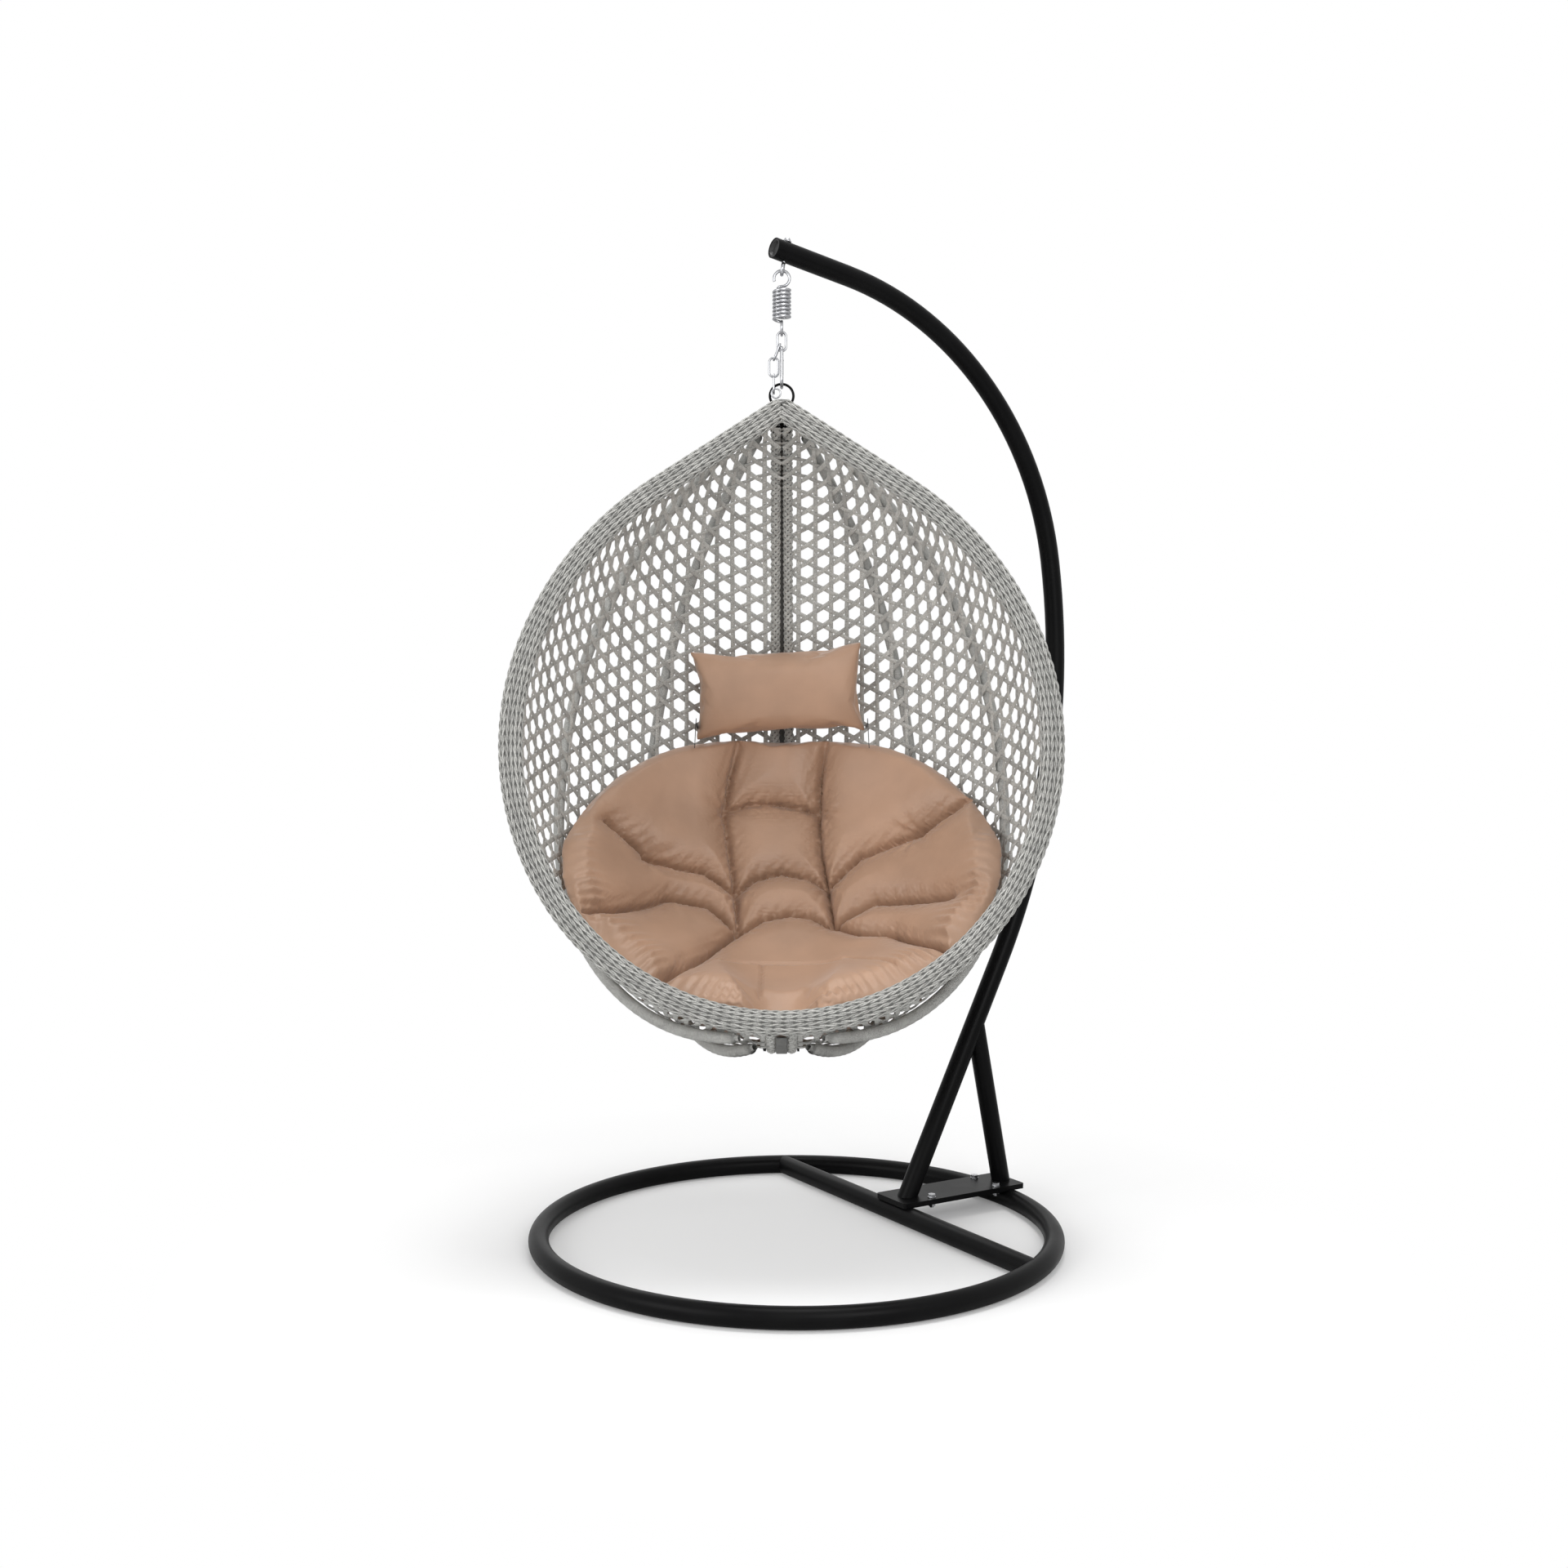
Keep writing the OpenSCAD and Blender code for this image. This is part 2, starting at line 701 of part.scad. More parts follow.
// A link with round ends, upright in the XZ plane about its middle
module link(length, width, wire) {
    r = (width - wire) / 2;
    straight = length - width;
    for (s = [0, 180]) {
        rotate([0, s, 0]) {
            translate([0, 0, straight / 2])
                rotate([90, 0, 0])
                rotate_extrude(angle = 180)
                translate([r, 0])
                circle(d = wire);
            translate([r, 0, -straight / 2]) cylinder(d = wire, h = straight);
        }
    }
}

top_link_head = lower_loop_low + spring_wire / 2 + top_link_wire / 2 + link_gap;
top_link_low = top_link_head - top_link_len + top_link_wire;
top_link_mid = (top_link_head + top_link_low) / 2;

module top_link() {
    color(steel_zinc) on_hang_line(top_link_mid) link(top_link_len, top_link_w, top_link_wire);
}

// The hook is a pear-shaped rod in the YZ plane, with the gate on its +Y side
hook_head = top_link_low + top_link_wire / 2 + hook_rod / 2 + link_gap;
hook_low = hook_head - hook_len;
hook_run = hook_len - hook_small_r - hook_large_r;
hook_taper = asin((hook_large_r - hook_small_r) / hook_run);
hook_side = hook_run * cos(hook_taper);
gate_stub = 8;
nose_stub = 9;
hook_small_mid = hook_head - hook_small_r;
hook_start_heading = 90 + hook_taper;
hook_bend_start = [
    hook_small_r * sin(hook_start_heading),
    hook_small_mid - hook_small_r * cos(hook_start_heading)];
hook_start = [
    hook_bend_start[0] - gate_stub * cos(hook_start_heading),
    hook_bend_start[1] - gate_stub * sin(hook_start_heading),
    hook_start_heading];
hook_pieces = [
    line(gate_stub),
    arc(hook_small_r, 180 - 2 * hook_taper),
    line(hook_side),
    arc(hook_large_r, 180 + 2 * hook_taper),
    line(nose_stub)];
gate_run = hook_side - gate_stub - nose_stub;
pin_inset = 4;
rivet_d = 2;
tongue_t = 2.4;
slot_t = 3;

// Puts a path of the YZ plane on the hanging line
module in_hook_plane() {
    on_hang_line(0) rotate([0, 0, 90]) children();
}

// At the gate's end of the rod, with +Z towards the nose and +X out of the hook
module at_gate() {
    translate([hook_start[0], 0, hook_start[1]]) rotate([0, 270 - hook_start_heading, 0])
        rotate([0, 0, 180]) children();
}

module snap_hook() {
    color(steel_zinc) in_hook_plane() {
        sweep(hook_start, hook_pieces) disc(hook_rod);
        at_gate() difference() {
            union() {
                translate([-3, -tongue_t / 2, -1]) cube([6, tongue_t, pin_inset + 1]);
                translate([0, 0, pin_inset]) rotate([90, 0, 0]) cylinder(r = 3, h = tongue_t, center = true);
            }
            translate([0, 0, pin_inset]) rotate([90, 0, 0]) cylinder(d = rivet_d, h = 2 * tongue_t, center = true);
        }
    }
}

gate_play = 0.4;
module hook_gate() {
    color(steel_zinc) in_hook_plane() at_gate() difference() {
        union() {
            translate([0, 0, pin_inset]) cylinder(d = gate_d, h = gate_run - pin_inset - gate_play);
            intersection() {
                cylinder(d = gate_d, h = 2 * pin_inset);
                translate([0, 0, pin_inset]) rotate([90, 0, 0]) cylinder(d = gate_d, h = gate_d, center = true);
            }
        }
        translate([-gate_d, -slot_t / 2, -1]) cube([2 * gate_d, slot_t, pin_inset + 5]);
        translate([0, 0, pin_inset]) rotate([90, 0, 0]) cylinder(d = rivet_d + 0.1, h = 2 * gate_d, center = true);
    }
}

module gate_rivet() {
    color(steel_zinc) in_hook_plane() at_gate()
        translate([0, 0, pin_inset]) rotate([90, 0, 0]) cylinder(d = rivet_d, h = gate_d + 0.6, center = true);
}

// The safety chain hangs beside the hook
chain_x = -14.5;
upper_link_x = -2.8;
upper_link_head = top_link_low + 12.4;
upper_link_foot = top_link_low - 16.6;
upper_link_lean = atan((upper_link_x - chain_x) / (upper_link_head - upper_link_foot));
upper_link_len = norm([upper_link_x - chain_x, upper_link_head - upper_link_foot]) + chain_wire;
middle_link_len = 39;
middle_link_w = 21;
middle_link_head = upper_link_foot + chain_wire + link_gap;
middle_link_mid = middle_link_head - (middle_link_len - chain_wire) / 2;
middle_link_low = middle_link_head - middle_link_len + chain_wire;
lower_link_len = 39;
lower_link_w = 21;
lower_link_head = middle_link_low + chain_wire + link_gap;
lower_link_mid = lower_link_head - (lower_link_len - chain_wire) / 2;
lower_link_low = lower_link_head - lower_link_len + chain_wire;
safety_ring_wire = 3;
safety_ring_r = 8.4;
safety_ring_at = [-10.5, -4.4, lower_link_low - 0.2];

module safety_link_upper() {
    color(steel_zinc)
        on_hang_line(0)
        translate([(upper_link_x + chain_x) / 2, 0, (upper_link_head + upper_link_foot) / 2])
        rotate([0, upper_link_lean, 0])
        rotate([0, 0, 90])
        link(upper_link_len, 17, chain_wire);
}

module safety_link_middle() {
    color(steel_zinc)
        on_hang_line(middle_link_mid)
        translate([chain_x, 0, 0])
        link(middle_link_len, middle_link_w, chain_wire);
}

module safety_link_lower() {
    color(steel_zinc)
        on_hang_line(lower_link_mid)
        translate([chain_x, 0, 0])
        rotate([0, 0, 90])
        link(lower_link_len, lower_link_w, chain_wire);
}

module safety_ring() {
    color(steel_zinc)
        on_hang_line(0)
        translate(safety_ring_at)
        rotate([90, 0, 0])
        rotate_extrude()
        translate([safety_ring_r, 0])
        circle(d = safety_ring_wire);
}

// ---- Basket: outline, back curve and surface ----
apex_ring_mid = hook_low + hook_rod / 2 + apex_ring_wire / 2 + link_gap - apex_ring_r;
peak = [hang[0], hang[1] - peak_forward, apex_ring_mid - peak_drop];

// Half of the rim, from the peak to the bottom; the last radius closes it on the middle plane
bottom_turn = 180 - peak_slope - shoulder_turn - side_turn;
rim_h1 = peak_slope + shoulder_turn;
rim_h2 = rim_h1 + side_turn;
bottom_r = (rim_straight * cos(peak_slope)
    + shoulder_r * (sin(rim_h1) - sin(peak_slope))
    + side_r * (sin(rim_h2) - sin(rim_h1))) / sin(rim_h2);
rim_start = [0, 0, -peak_slope];
rim_pieces = [
    line(rim_straight),
    arc(shoulder_r, -shoulder_turn),
    arc(side_r, -side_turn),
    arc(bottom_r, -bottom_turn)];
rim_len = path_len(rim_pieces);
rim_bottom = along(rim_start, rim_pieces, rim_len);

// The middle of the back, as [y, z] from the peak; its last bend closes it on the rim's bottom
back_start = [0, 0, -back_slope];
back_three = [
    arc(upper_back_r, back_slope - 90),
    arc(lower_back_r, -lower_back_turn),
    arc(seat_bend_r, lower_back_turn - 90)];
back_low = along(back_start, back_three, path_len(back_three));
rim_bottom_yz = rim_bottom[1] * [sin(mouth_lean), cos(mouth_lean)];
front_rise = rim_bottom_yz[1] - back_low[1];
front_run = back_low[0] - rim_bottom_yz[0];
front_half = atan2(front_rise, front_run);
front_r = norm([front_rise, front_run]) / (2 * sin(front_half));
back_pieces = concat(back_three, [arc(front_r, -2 * front_half)]);
back_len = path_len(back_pieces);

// A point of the basket: t runs from the peak (0) to the bottom (1) and angle from the rim (0) to the
// middle of the back (90); it is measured from the peak, on the +X half
function rim_at(t) = let (p = along(rim_start, rim_pieces, t * rim_len))
    [p[0], sin(mouth_lean) * p[1], cos(mouth_lean) * p[1]];
function back_at(t) = let (p = along(back_start, back_pieces, t * back_len)) [0, p[0], p[1]];
function bowl(t, angle) =
    let (
        rim = rim_at(t),
        back = back_at(t),
        e = 1 - section_square * ease((t - 0.35) / 0.45),
        c = pow(max(0, cos(angle)), e),
        s = pow(max(0, sin(angle)), e))
    [rim[0] * c, rim[1] + (back[1] - rim[1]) * s, rim[2] + (back[2] - rim[2]) * s];
// How far the back lies behind the mouth's plane
function bowl_depth(t) =
    let (b = back_at(t) - rim_at(t))
    b[1] * cos(mouth_lean) - b[2] * sin(mouth_lean);
// Outward direction, from two short steps on the surface
function bowl_out(t, angle) =
    let (
        dt = 0.004,
        da = 1.5,
        a = min(89, max(1, angle)),
        u = bowl(min(1, t + dt), a) - bowl(max(0, t - dt), a),
        v = bowl(t, a + da > 90 ? 90 : a + da) - bowl(t, a - da < 0 ? 0 : a - da))
    unit(cross(u, v));
function off_bowl(t, angle, distance) = bowl(t, angle) + distance * bowl_out(t, angle);

module at_peak() {
    translate(peak) children();
}

module in_mouth_plane() {
    at_peak() rotate([-mouth_lean, 0, 0]) children();
}

module in_back_plane() {
    at_peak() rotate([0, 0, 90]) children();
}

module half(left) {
    mirror([left ? 1 : 0, 0, 0]) children();
}

// A half of the rim, with a little more at both ends, cut off on the middle plane
module rim_half(left) {
    extra = 2 * band_w;
    in_mouth_plane() half(left) difference() {
        sweep(
            [-extra * cos(peak_slope), extra * sin(peak_slope), -peak_slope],
            concat([line(extra + rim_straight)], [rim_pieces[1], rim_pieces[2], rim_pieces[3]]))
            children();
        translate([-3 * extra, -extra, -3 * extra]) cube([3 * extra, 2 * extra, 6 * extra]);
    }
}

module band_profile() {
    for (s = [-1, 1]) {
        translate([s * (band_w - band_depth) / 2, 0]) disc(band_depth);
    }
    square([band_w - band_depth, band_depth - $slim], center = true);
}

module centre_solid(left, d, from, to) {
    at_peak()
        half(left)
        rotate([0, -centre_spread, 0])
        translate([centre_x, 0, 0])
        rotate([0, 0, 90])
        sweep(along(back_start, back_pieces, from), trim(back_pieces, from, to))
        disc(d);
}

module rim_tube(left) {
    color(steel_black) difference() {
        rim_half(left) disc(rim_tube_d);
        rim_half(left) disc(rim_tube_d - 2 * rim_tube_wall);
    }
}

module left_rim_tube() {
    rim_tube(true);
}

module right_rim_tube() {
    rim_tube(false);
}

centre_end_inset = 4;
module rim_winding(left) {
    color(rope_grey) difference() {
        rim_half(left) band_profile();
        rim_half(left) disc(rim_tube_d);
        centre_solid(left, centre_tube_d, centre_end_inset, 2.2 * band_w);
        centre_solid(left, centre_tube_d, back_len - 2.2 * band_w, back_len - centre_end_inset);
    }
}

module left_rim_winding() {
    rim_winding(true);
}

module right_rim_winding() {
    rim_winding(false);
}

module centre_tube(left) {
    color(steel_black) difference() {
        centre_solid(left, centre_tube_d, centre_end_inset, back_len - centre_end_inset);
        centre_solid(left, centre_tube_d - 2 * centre_tube_wall, centre_end_inset - 5, back_len);
        rim_half(left) disc(rim_tube_d);
        bottom_joint(2, 400);
    }
}

module left_centre_tube() {
    centre_tube(true);
}

module right_centre_tube() {
    centre_tube(false);
}

braid_from = 62;
braid_to = back_len - 30;
module centre_braid(left) {
    color(rope_grey) difference() {
        centre_solid(left, centre_wrap_d, braid_from, braid_to);
        centre_solid(left, centre_tube_d, braid_from - 5, braid_to + 5);
        bottom_joint(2, 400);
    }
}

module left_centre_braid() {
    centre_braid(true);
}

module right_centre_braid() {
    centre_braid(false);
}

// ---- Ribs and weave ----
rib_from = 0.05;
rib_to = 0.952;
rib_rings = 30;
function rib_angle(outer, t) = outer
    ? outer_rib_angle - outer_rib_drift * ease((t - 0.45) / 0.35)
    : inner_rib_angle;
module rib(outer, left) {
    lift = weave_t / 2 + rib_d / 2 + 2.5 * weave_gap;
    ts = [for (i = [0:rib_rings]) rib_from + (rib_to - rib_from) * i / rib_rings];
    points = [for (t = ts) off_bowl(t, rib_angle(outer, t), lift)];
    ups = [for (t = ts) bowl_out(t, rib_angle(outer, t))];
    color(rope_grey) at_peak() half(left) tube(points, ups, rib_d / 2, 8);
}

module left_outer_rib() {
    rib(true, true);
}

module left_inner_rib() {
    rib(false, true);
}

module right_inner_rib() {
    rib(false, false);
}

module right_outer_rib() {
    rib(true, false);
}

// A panel runs from the band to the centre tube's rope
panel_from = 0.05;
panel_to = 0.965;
panel_rows = 30;
panel_columns = 12;
// The panels stand back from the bolt at the bottom
bottom_clear = 9;
function panel_first(t) =
    let (e = 1 - section_square * ease((t - 0.35) / 0.45))
    asin(pow(min(1, (band_depth / 2 + 6 * weave_gap) / bowl_depth(t)), 1 / e));
function panel_last(t) =
    let (e = 1 - section_square * ease((t - 0.35) / 0.45),
        open = abs(t - bottom_at / back_len) < 0.045 ? bottom_clear : 0,
        x = centre_x - back_at(t)[2] * tan(centre_spread) + centre_wrap_d / 2 + weave_gap + open)
    acos(pow(x / rim_at(t)[0], 1 / e));
module woven_panel(left) {
    grid = [for (i = [0:panel_rows])
        let (t = panel_from + (panel_to - panel_from) * i / panel_rows, a = panel_first(t), b = panel_last(t))
        [for (j = [0:panel_columns]) [t, a + (b - a) * j / panel_columns]]];
    color(rope_grey) at_peak() half(left) slab(
        [for (row = grid) [for (g = row) off_bowl(g[0], g[1], weave_t / 2)]],
        [for (row = grid) [for (g = row) off_bowl(g[0], g[1], -weave_t / 2)]]);
}

module left_woven_panel() {
    woven_panel(true);
}

module right_woven_panel() {
    woven_panel(false);
}

// ---- Top and bottom of the basket's frame ----
// The lug is welded between the centre tubes, and the black ring goes through its hole
lug_hole_r = 4.2;
lug_hole = [0, apex_ring_mid - apex_ring_r + apex_ring_wire / 2 + 0.95 - lug_hole_r];
lug_t = 2 * (centre_x - centre_tube_d / 2);
lug_back = along(back_start, back_pieces, braid_from - 9);
lug_front = along(back_start, back_pieces, 24);
module apex_lug() {
    color(steel_black) on_hang_line(0) rotate([0, 0, 90]) rotate([90, 0, 0]) translate([0, 0, -lug_t / 2])
        linear_extrude(lug_t)
        difference() {
            union() {
                translate(lug_hole) circle(r = 9);
                polygon([
                    lug_hole + [9, 0],
                    lug_hole + [-9, 0],
                    [lug_front[0] - peak_forward, peak[2] + lug_front[1] - 3],
                    [lug_back[0] - peak_forward, peak[2] + lug_back[1] - 5],
                    [lug_back[0] - peak_forward, peak[2] + lug_back[1] + 5]]);
            }
            translate(lug_hole) circle(r = lug_hole_r);
        }
}

module apex_ring() {
    color(steel_black)
        on_hang_line(apex_ring_mid)
        rotate([90, 0, 0])
        rotate_extrude()
        translate([apex_ring_r, 0])
        circle(d = apex_ring_wire);
}

// A bolt across both centre tubes at the lowest point of the back
bottom_bolt_d = 6;
bottom_at = path_len(back_three) + 60;
bottom_spot = along(back_start, back_pieces, bottom_at);
bottom_x = centre_x - bottom_spot[1] * tan(centre_spread);
bottom_out = bottom_x + centre_wrap_d / 2;
module bottom_joint(from, to) {
    at_peak() translate([0, bottom_spot[0], bottom_spot[1]]) rotate([0, 90, 0])
        cylinder(d = bottom_bolt_d, h = to, center = true);
}

module bottom_spacer() {
    color(steel_black) at_peak() translate([0, bottom_spot[0], bottom_spot[1]]) rotate([0, 90, 0])
        difference() {
            cylinder(d = 12, h = 2 * (bottom_out - centre_wrap_d), center = true);
            cylinder(d = bottom_bolt_d, h = 100, center = true);
        }
}

module bottom_bolt() {
    color(steel_black) at_peak() translate([0, bottom_spot[0], bottom_spot[1]]) rotate([0, 90, 0]) {
        translate([0, 0, -bottom_out - 6]) cylinder(d = bottom_bolt_d, h = 2 * bottom_out + 6);
        translate([0, 0, bottom_out]) cylinder(d = 12, h = 4);
    }
}

module bottom_nut() {
    color(steel_black) at_peak() translate([0, bottom_spot[0], bottom_spot[1]]) rotate([0, 90, 0])
        translate([0, 0, -bottom_out - 5]) difference() {
            cylinder(d = 11.5, h = 5, $fn = 6);
            translate([0, 0, -1]) cylinder(d = bottom_bolt_d, h = 7);
        }
}

// ---- Cushions ----
// The seat cushion lies in the basket. Its back edge is an arch, highest in the middle, and its front edge
// lies on the rim's bottom, both as shares of the way from the peak to the bottom.
seat_back = 0.434;
seat_arch = 0.222;
seat_arch_power = 3.6;
seat_front = 0.955;
seat_side = 9;
seat_rows = 24;
seat_columns = 24;
seat_edge = 30;
// Each tuft's share of the way down and its distance from the middle plane
tufts = [[0.51, 90], [0.6, 90], [0.76, 90], [0.57, 245], [0.72, 255]];
function both_halves(angle, p) = angle > 90 ? [-p[0], p[1], p[2]] : p;
function folded(angle) = angle > 90 ? 180 - angle : angle;
function crown(k) = pow(max(0, sin(180 * k)), 0.45);
function tuft(t, x) = max([
    for (k = tufts)
        let (across = (abs(x) - k[1]) / tuft_w, down = (t - k[0]) * back_len / tuft_w)
        exp(-4 * (across * across + down * down))]);
module seat_cushion() {
    low = cushion_gap + weave_t / 2;
    grid = [for (i = [0:seat_rows])
        [for (j = [0:seat_columns])
            let (
                u = i / seat_rows,
                v = j / seat_columns,
                a = seat_side + (180 - 2 * seat_side) * v,
                first = seat_back + seat_arch * pow(abs(cos(a)), seat_arch_power),
                t = first + (seat_front - first) * u,
                most = seat_t * (1 - seat_thin * (1 - ease(u / 0.7))),
                full = seat_edge + (most - seat_edge) * min(crown(u), crown(v)),
                thick = full - tuft_depth * tuft(t, bowl(t, folded(a))[0]) * min(1, 3 * min(u, 1 - u)))
            [t, a, thick]]];
    color(satin_tan) at_peak() slab(
        [for (row = grid) [for (g = row) both_halves(g[1], off_bowl(g[0], folded(g[1]), -low))]],
        [for (row = grid) [for (g = row) both_halves(g[1], off_bowl(g[0], folded(g[1]), -low - g[2]))]]);
}

// The head pillow stands against the back: full in the middle, thin at its edges, with drawn-in sides
pillow_rows = 12;
pillow_columns = 18;
pillow_edge = 14;
pillow_forward = 16;
pillow_t_mid = [for (t = [0:0.005:1]) if (-back_at(t)[2] >= pillow_drop) t][0];
pillow_mid = back_at(pillow_t_mid);
function pillow_point(u, v, side) =
    let (
        pinch = 1 - 0.06 * sin(180 * v),
        waist = 1 - 0.04 * sin(180 * u),
        x = (v - 0.5) * pillow_w * waist,
        z = (u - 0.5) * pillow_h * pinch,
        fill = pow(max(0, sin(180 * u)) * max(0, sin(180 * v)), 0.4),
        bend = x * x / 900,
        lean = z * 0.12)
    [x, pillow_mid[1] - cushion_gap - weave_t / 2 - pillow_edge / 2 - bend - lean
        - (pillow_t - pillow_edge) * fill * (side > 0 ? 0.25 : 1)
        + side * pillow_edge / 2 - pillow_forward, pillow_mid[2] + z];
module head_pillow() {
    us = [for (i = [0:pillow_rows]) i / pillow_rows];
    vs = [for (j = [0:pillow_columns]) j / pillow_columns];
    color(satin_tan) at_peak() slab(
        [for (u = us) [for (v = vs) pillow_point(u, v, 1)]],
        [for (u = us) [for (v = vs) pillow_point(u, v, -1)]]);
}

// Two flat ties from the pillow's side seams back to the weave
module pillow_ties() {
    color(plastic_black) at_peak()
        for (s = [-1, 1]) {
            translate([s * (pillow_w / 2 + 2), pillow_mid[1] - 70, pillow_mid[2] - pillow_h / 2 + 20])
                cube([2, 60, 8], center = true);
        }
}

base_ring();
cross_tube();
lower_base_plate();
upper_base_plate();
main_post();
brace_tube();
joint_sleeve();
joint_bolts();
joint_nuts();
upper_arm();
arm_end_cap();
plate_bolts();
plate_washers();
plate_nuts();
eye_bolt();
eye_bolt_washer();
eye_bolt_nut();
spring_upper_loop();
spring_coil();
spring_lower_loop();
top_link();
snap_hook();
hook_gate();
gate_rivet();
safety_link_upper();
safety_link_middle();
safety_link_lower();
safety_ring();
apex_ring();
apex_lug();
left_rim_tube();
right_rim_tube();
left_rim_winding();
right_rim_winding();
left_centre_tube();
right_centre_tube();
left_centre_braid();
right_centre_braid();
left_outer_rib();
left_inner_rib();
right_inner_rib();
right_outer_rib();
left_woven_panel();
right_woven_panel();
bottom_spacer();
bottom_bolt();
bottom_nut();
seat_cushion();
head_pillow();
pillow_ties();
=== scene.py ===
"""Dresses the hanging egg chair: woven basket, ropes, cushions, coated steel and a pale studio."""

import json
import math

import bpy
import numpy as np
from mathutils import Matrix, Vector
from mathutils.kdtree import KDTree


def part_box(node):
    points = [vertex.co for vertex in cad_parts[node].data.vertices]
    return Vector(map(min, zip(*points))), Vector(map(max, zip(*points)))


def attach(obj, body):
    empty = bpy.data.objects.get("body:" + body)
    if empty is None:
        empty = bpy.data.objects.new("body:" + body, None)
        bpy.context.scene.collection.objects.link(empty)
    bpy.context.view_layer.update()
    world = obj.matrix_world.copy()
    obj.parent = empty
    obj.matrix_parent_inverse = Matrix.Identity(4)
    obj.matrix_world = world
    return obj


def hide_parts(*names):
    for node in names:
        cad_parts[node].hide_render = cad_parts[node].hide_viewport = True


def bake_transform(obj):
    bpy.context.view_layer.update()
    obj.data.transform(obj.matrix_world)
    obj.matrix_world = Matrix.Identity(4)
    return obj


bl_info = {
    "name": "Hanging Egg Chair",
    "version": (1, 0, 0),
    "blender": (4, 5, 0),
    "location": "View3D > Sidebar > Egg Chair",
    "description": "Builds the weave, ropes, cushions and finishes of a hanging egg chair on its frame",
    "category": "Object",
}

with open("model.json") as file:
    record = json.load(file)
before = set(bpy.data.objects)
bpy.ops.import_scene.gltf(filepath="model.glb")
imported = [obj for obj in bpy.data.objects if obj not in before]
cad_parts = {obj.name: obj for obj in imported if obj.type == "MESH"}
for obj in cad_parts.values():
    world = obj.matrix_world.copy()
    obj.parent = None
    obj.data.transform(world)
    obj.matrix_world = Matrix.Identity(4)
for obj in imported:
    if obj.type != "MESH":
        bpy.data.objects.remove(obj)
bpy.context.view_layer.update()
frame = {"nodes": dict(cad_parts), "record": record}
JOINTS = {joint["name"]: joint for joint in frame["record"]["behaviour"]["joints"]}
HANG_X, HANG_Y = JOINTS["fore_swing"]["pos_m"][:2]
BASKET = "basket"

# ---- Basket outline, as the frame has it: metres and degrees ----
PEAK = np.array([HANG_X, HANG_Y - 0.041, 1.54569])
MOUTH_LEAN = math.radians(12)
RIM_START = (0.0, 0.0, math.radians(-34))
RIM_STRAIGHT, SHOULDER_R, SIDE_R = 0.2705, 0.5845, 0.5242
SHOULDER_TURN, SIDE_TURN, BOTTOM_TURN = (math.radians(a) for a in (32, 52, 62))
BACK_START = (0.0, 0.0, math.radians(-27))
UPPER_BACK_R, LOWER_BACK_R, SEAT_BEND_R = 0.7253, 0.5928, 0.3308
SECTION_SQUARE = 0.18
BAND_W, BAND_DEPTH = 0.044, 0.032
WEAVE_T = 0.008
CENTRE_X, CENTRE_SPREAD = 0.0105, math.radians(0.37)
RIB_ANGLES = {"inner": (58, 0), "outer": (32, 8)}
RIB_FROM, RIB_TO = 0.05, 0.952
CROWN_FOOT = 0.2


def smooth_step(x):
    """Eases from 0 to 1."""
    k = np.clip(x, 0, 1)
    return k * k * (3 - 2 * k)


def unit(v):
    """Vectors of length 1, along the last axis."""
    return v / np.maximum(np.linalg.norm(v, axis=-1, keepdims=True), 1e-12)


def arc(radius, turn):
    """A path piece that bends to the right by turn."""
    return (radius * turn, radius, -turn)


def step(state, piece, s):
    """The state, (x, z, heading), s metres into a path piece."""
    x, z, h = state
    length, radius, turn = piece
    if not radius:
        return x + s * np.cos(h), z + s * np.sin(h), h + 0 * s
    end = h + turn * s / length
    k = math.copysign(radius, turn)
    return x + k * (np.sin(end) - np.sin(h)), z - k * (np.cos(end) - np.cos(h)), end


def along(start, pieces, s):
    """x, z and heading at distances s along a path of straights and arcs."""
    s = np.asarray(s, float)
    x, z, h = np.zeros_like(s), np.zeros_like(s), np.zeros_like(s)
    state, done = start, 0.0
    for i, piece in enumerate(pieces):
        here = (s >= done) if i else np.ones(s.shape, bool)
        got = step(state, piece, s - done)
        x, z, h = (np.where(here, new, old) for new, old in zip(got, (x, z, h)))
        state = tuple(float(k) for k in step(state, piece, np.array(piece[0])))
        done += piece[0]
    return x, z, h


def closing_rim_radius():
    """The radius of the rim's bottom bend, which closes the rim on the middle plane."""
    h0 = -RIM_START[2]
    h1, h2 = h0 + SHOULDER_TURN, h0 + SHOULDER_TURN + SIDE_TURN
    run = RIM_STRAIGHT * math.cos(h0) + SHOULDER_R * (math.sin(h1) - math.sin(h0))
    return (run + SIDE_R * (math.sin(h2) - math.sin(h1))) / math.sin(h2)


RIM_PIECES = [
    (RIM_STRAIGHT, 0, 0),
    arc(SHOULDER_R, SHOULDER_TURN),
    arc(SIDE_R, SIDE_TURN),
    arc(closing_rim_radius(), BOTTOM_TURN),
]
RIM_LEN = sum(piece[0] for piece in RIM_PIECES)


def closing_back():
    """The back's pieces, with the bend that brings it up to the rim's bottom."""
    quarter = math.radians(45)
    pieces = [arc(UPPER_BACK_R, math.radians(63)), arc(LOWER_BACK_R, quarter), arc(SEAT_BEND_R, quarter)]
    y, z, _ = along(BACK_START, pieces, np.array([sum(p[0] for p in pieces)]))
    drop = float(along(RIM_START, RIM_PIECES, np.array([RIM_LEN]))[1][0])
    rise = drop * math.cos(MOUTH_LEAN) - float(z[0])
    run = float(y[0]) - drop * math.sin(MOUTH_LEAN)
    half = math.atan2(rise, run)
    return pieces + [arc(math.hypot(rise, run) / (2 * math.sin(half)), 2 * half)]


BACK_PIECES = closing_back()
BACK_LEN = sum(piece[0] for piece in BACK_PIECES)


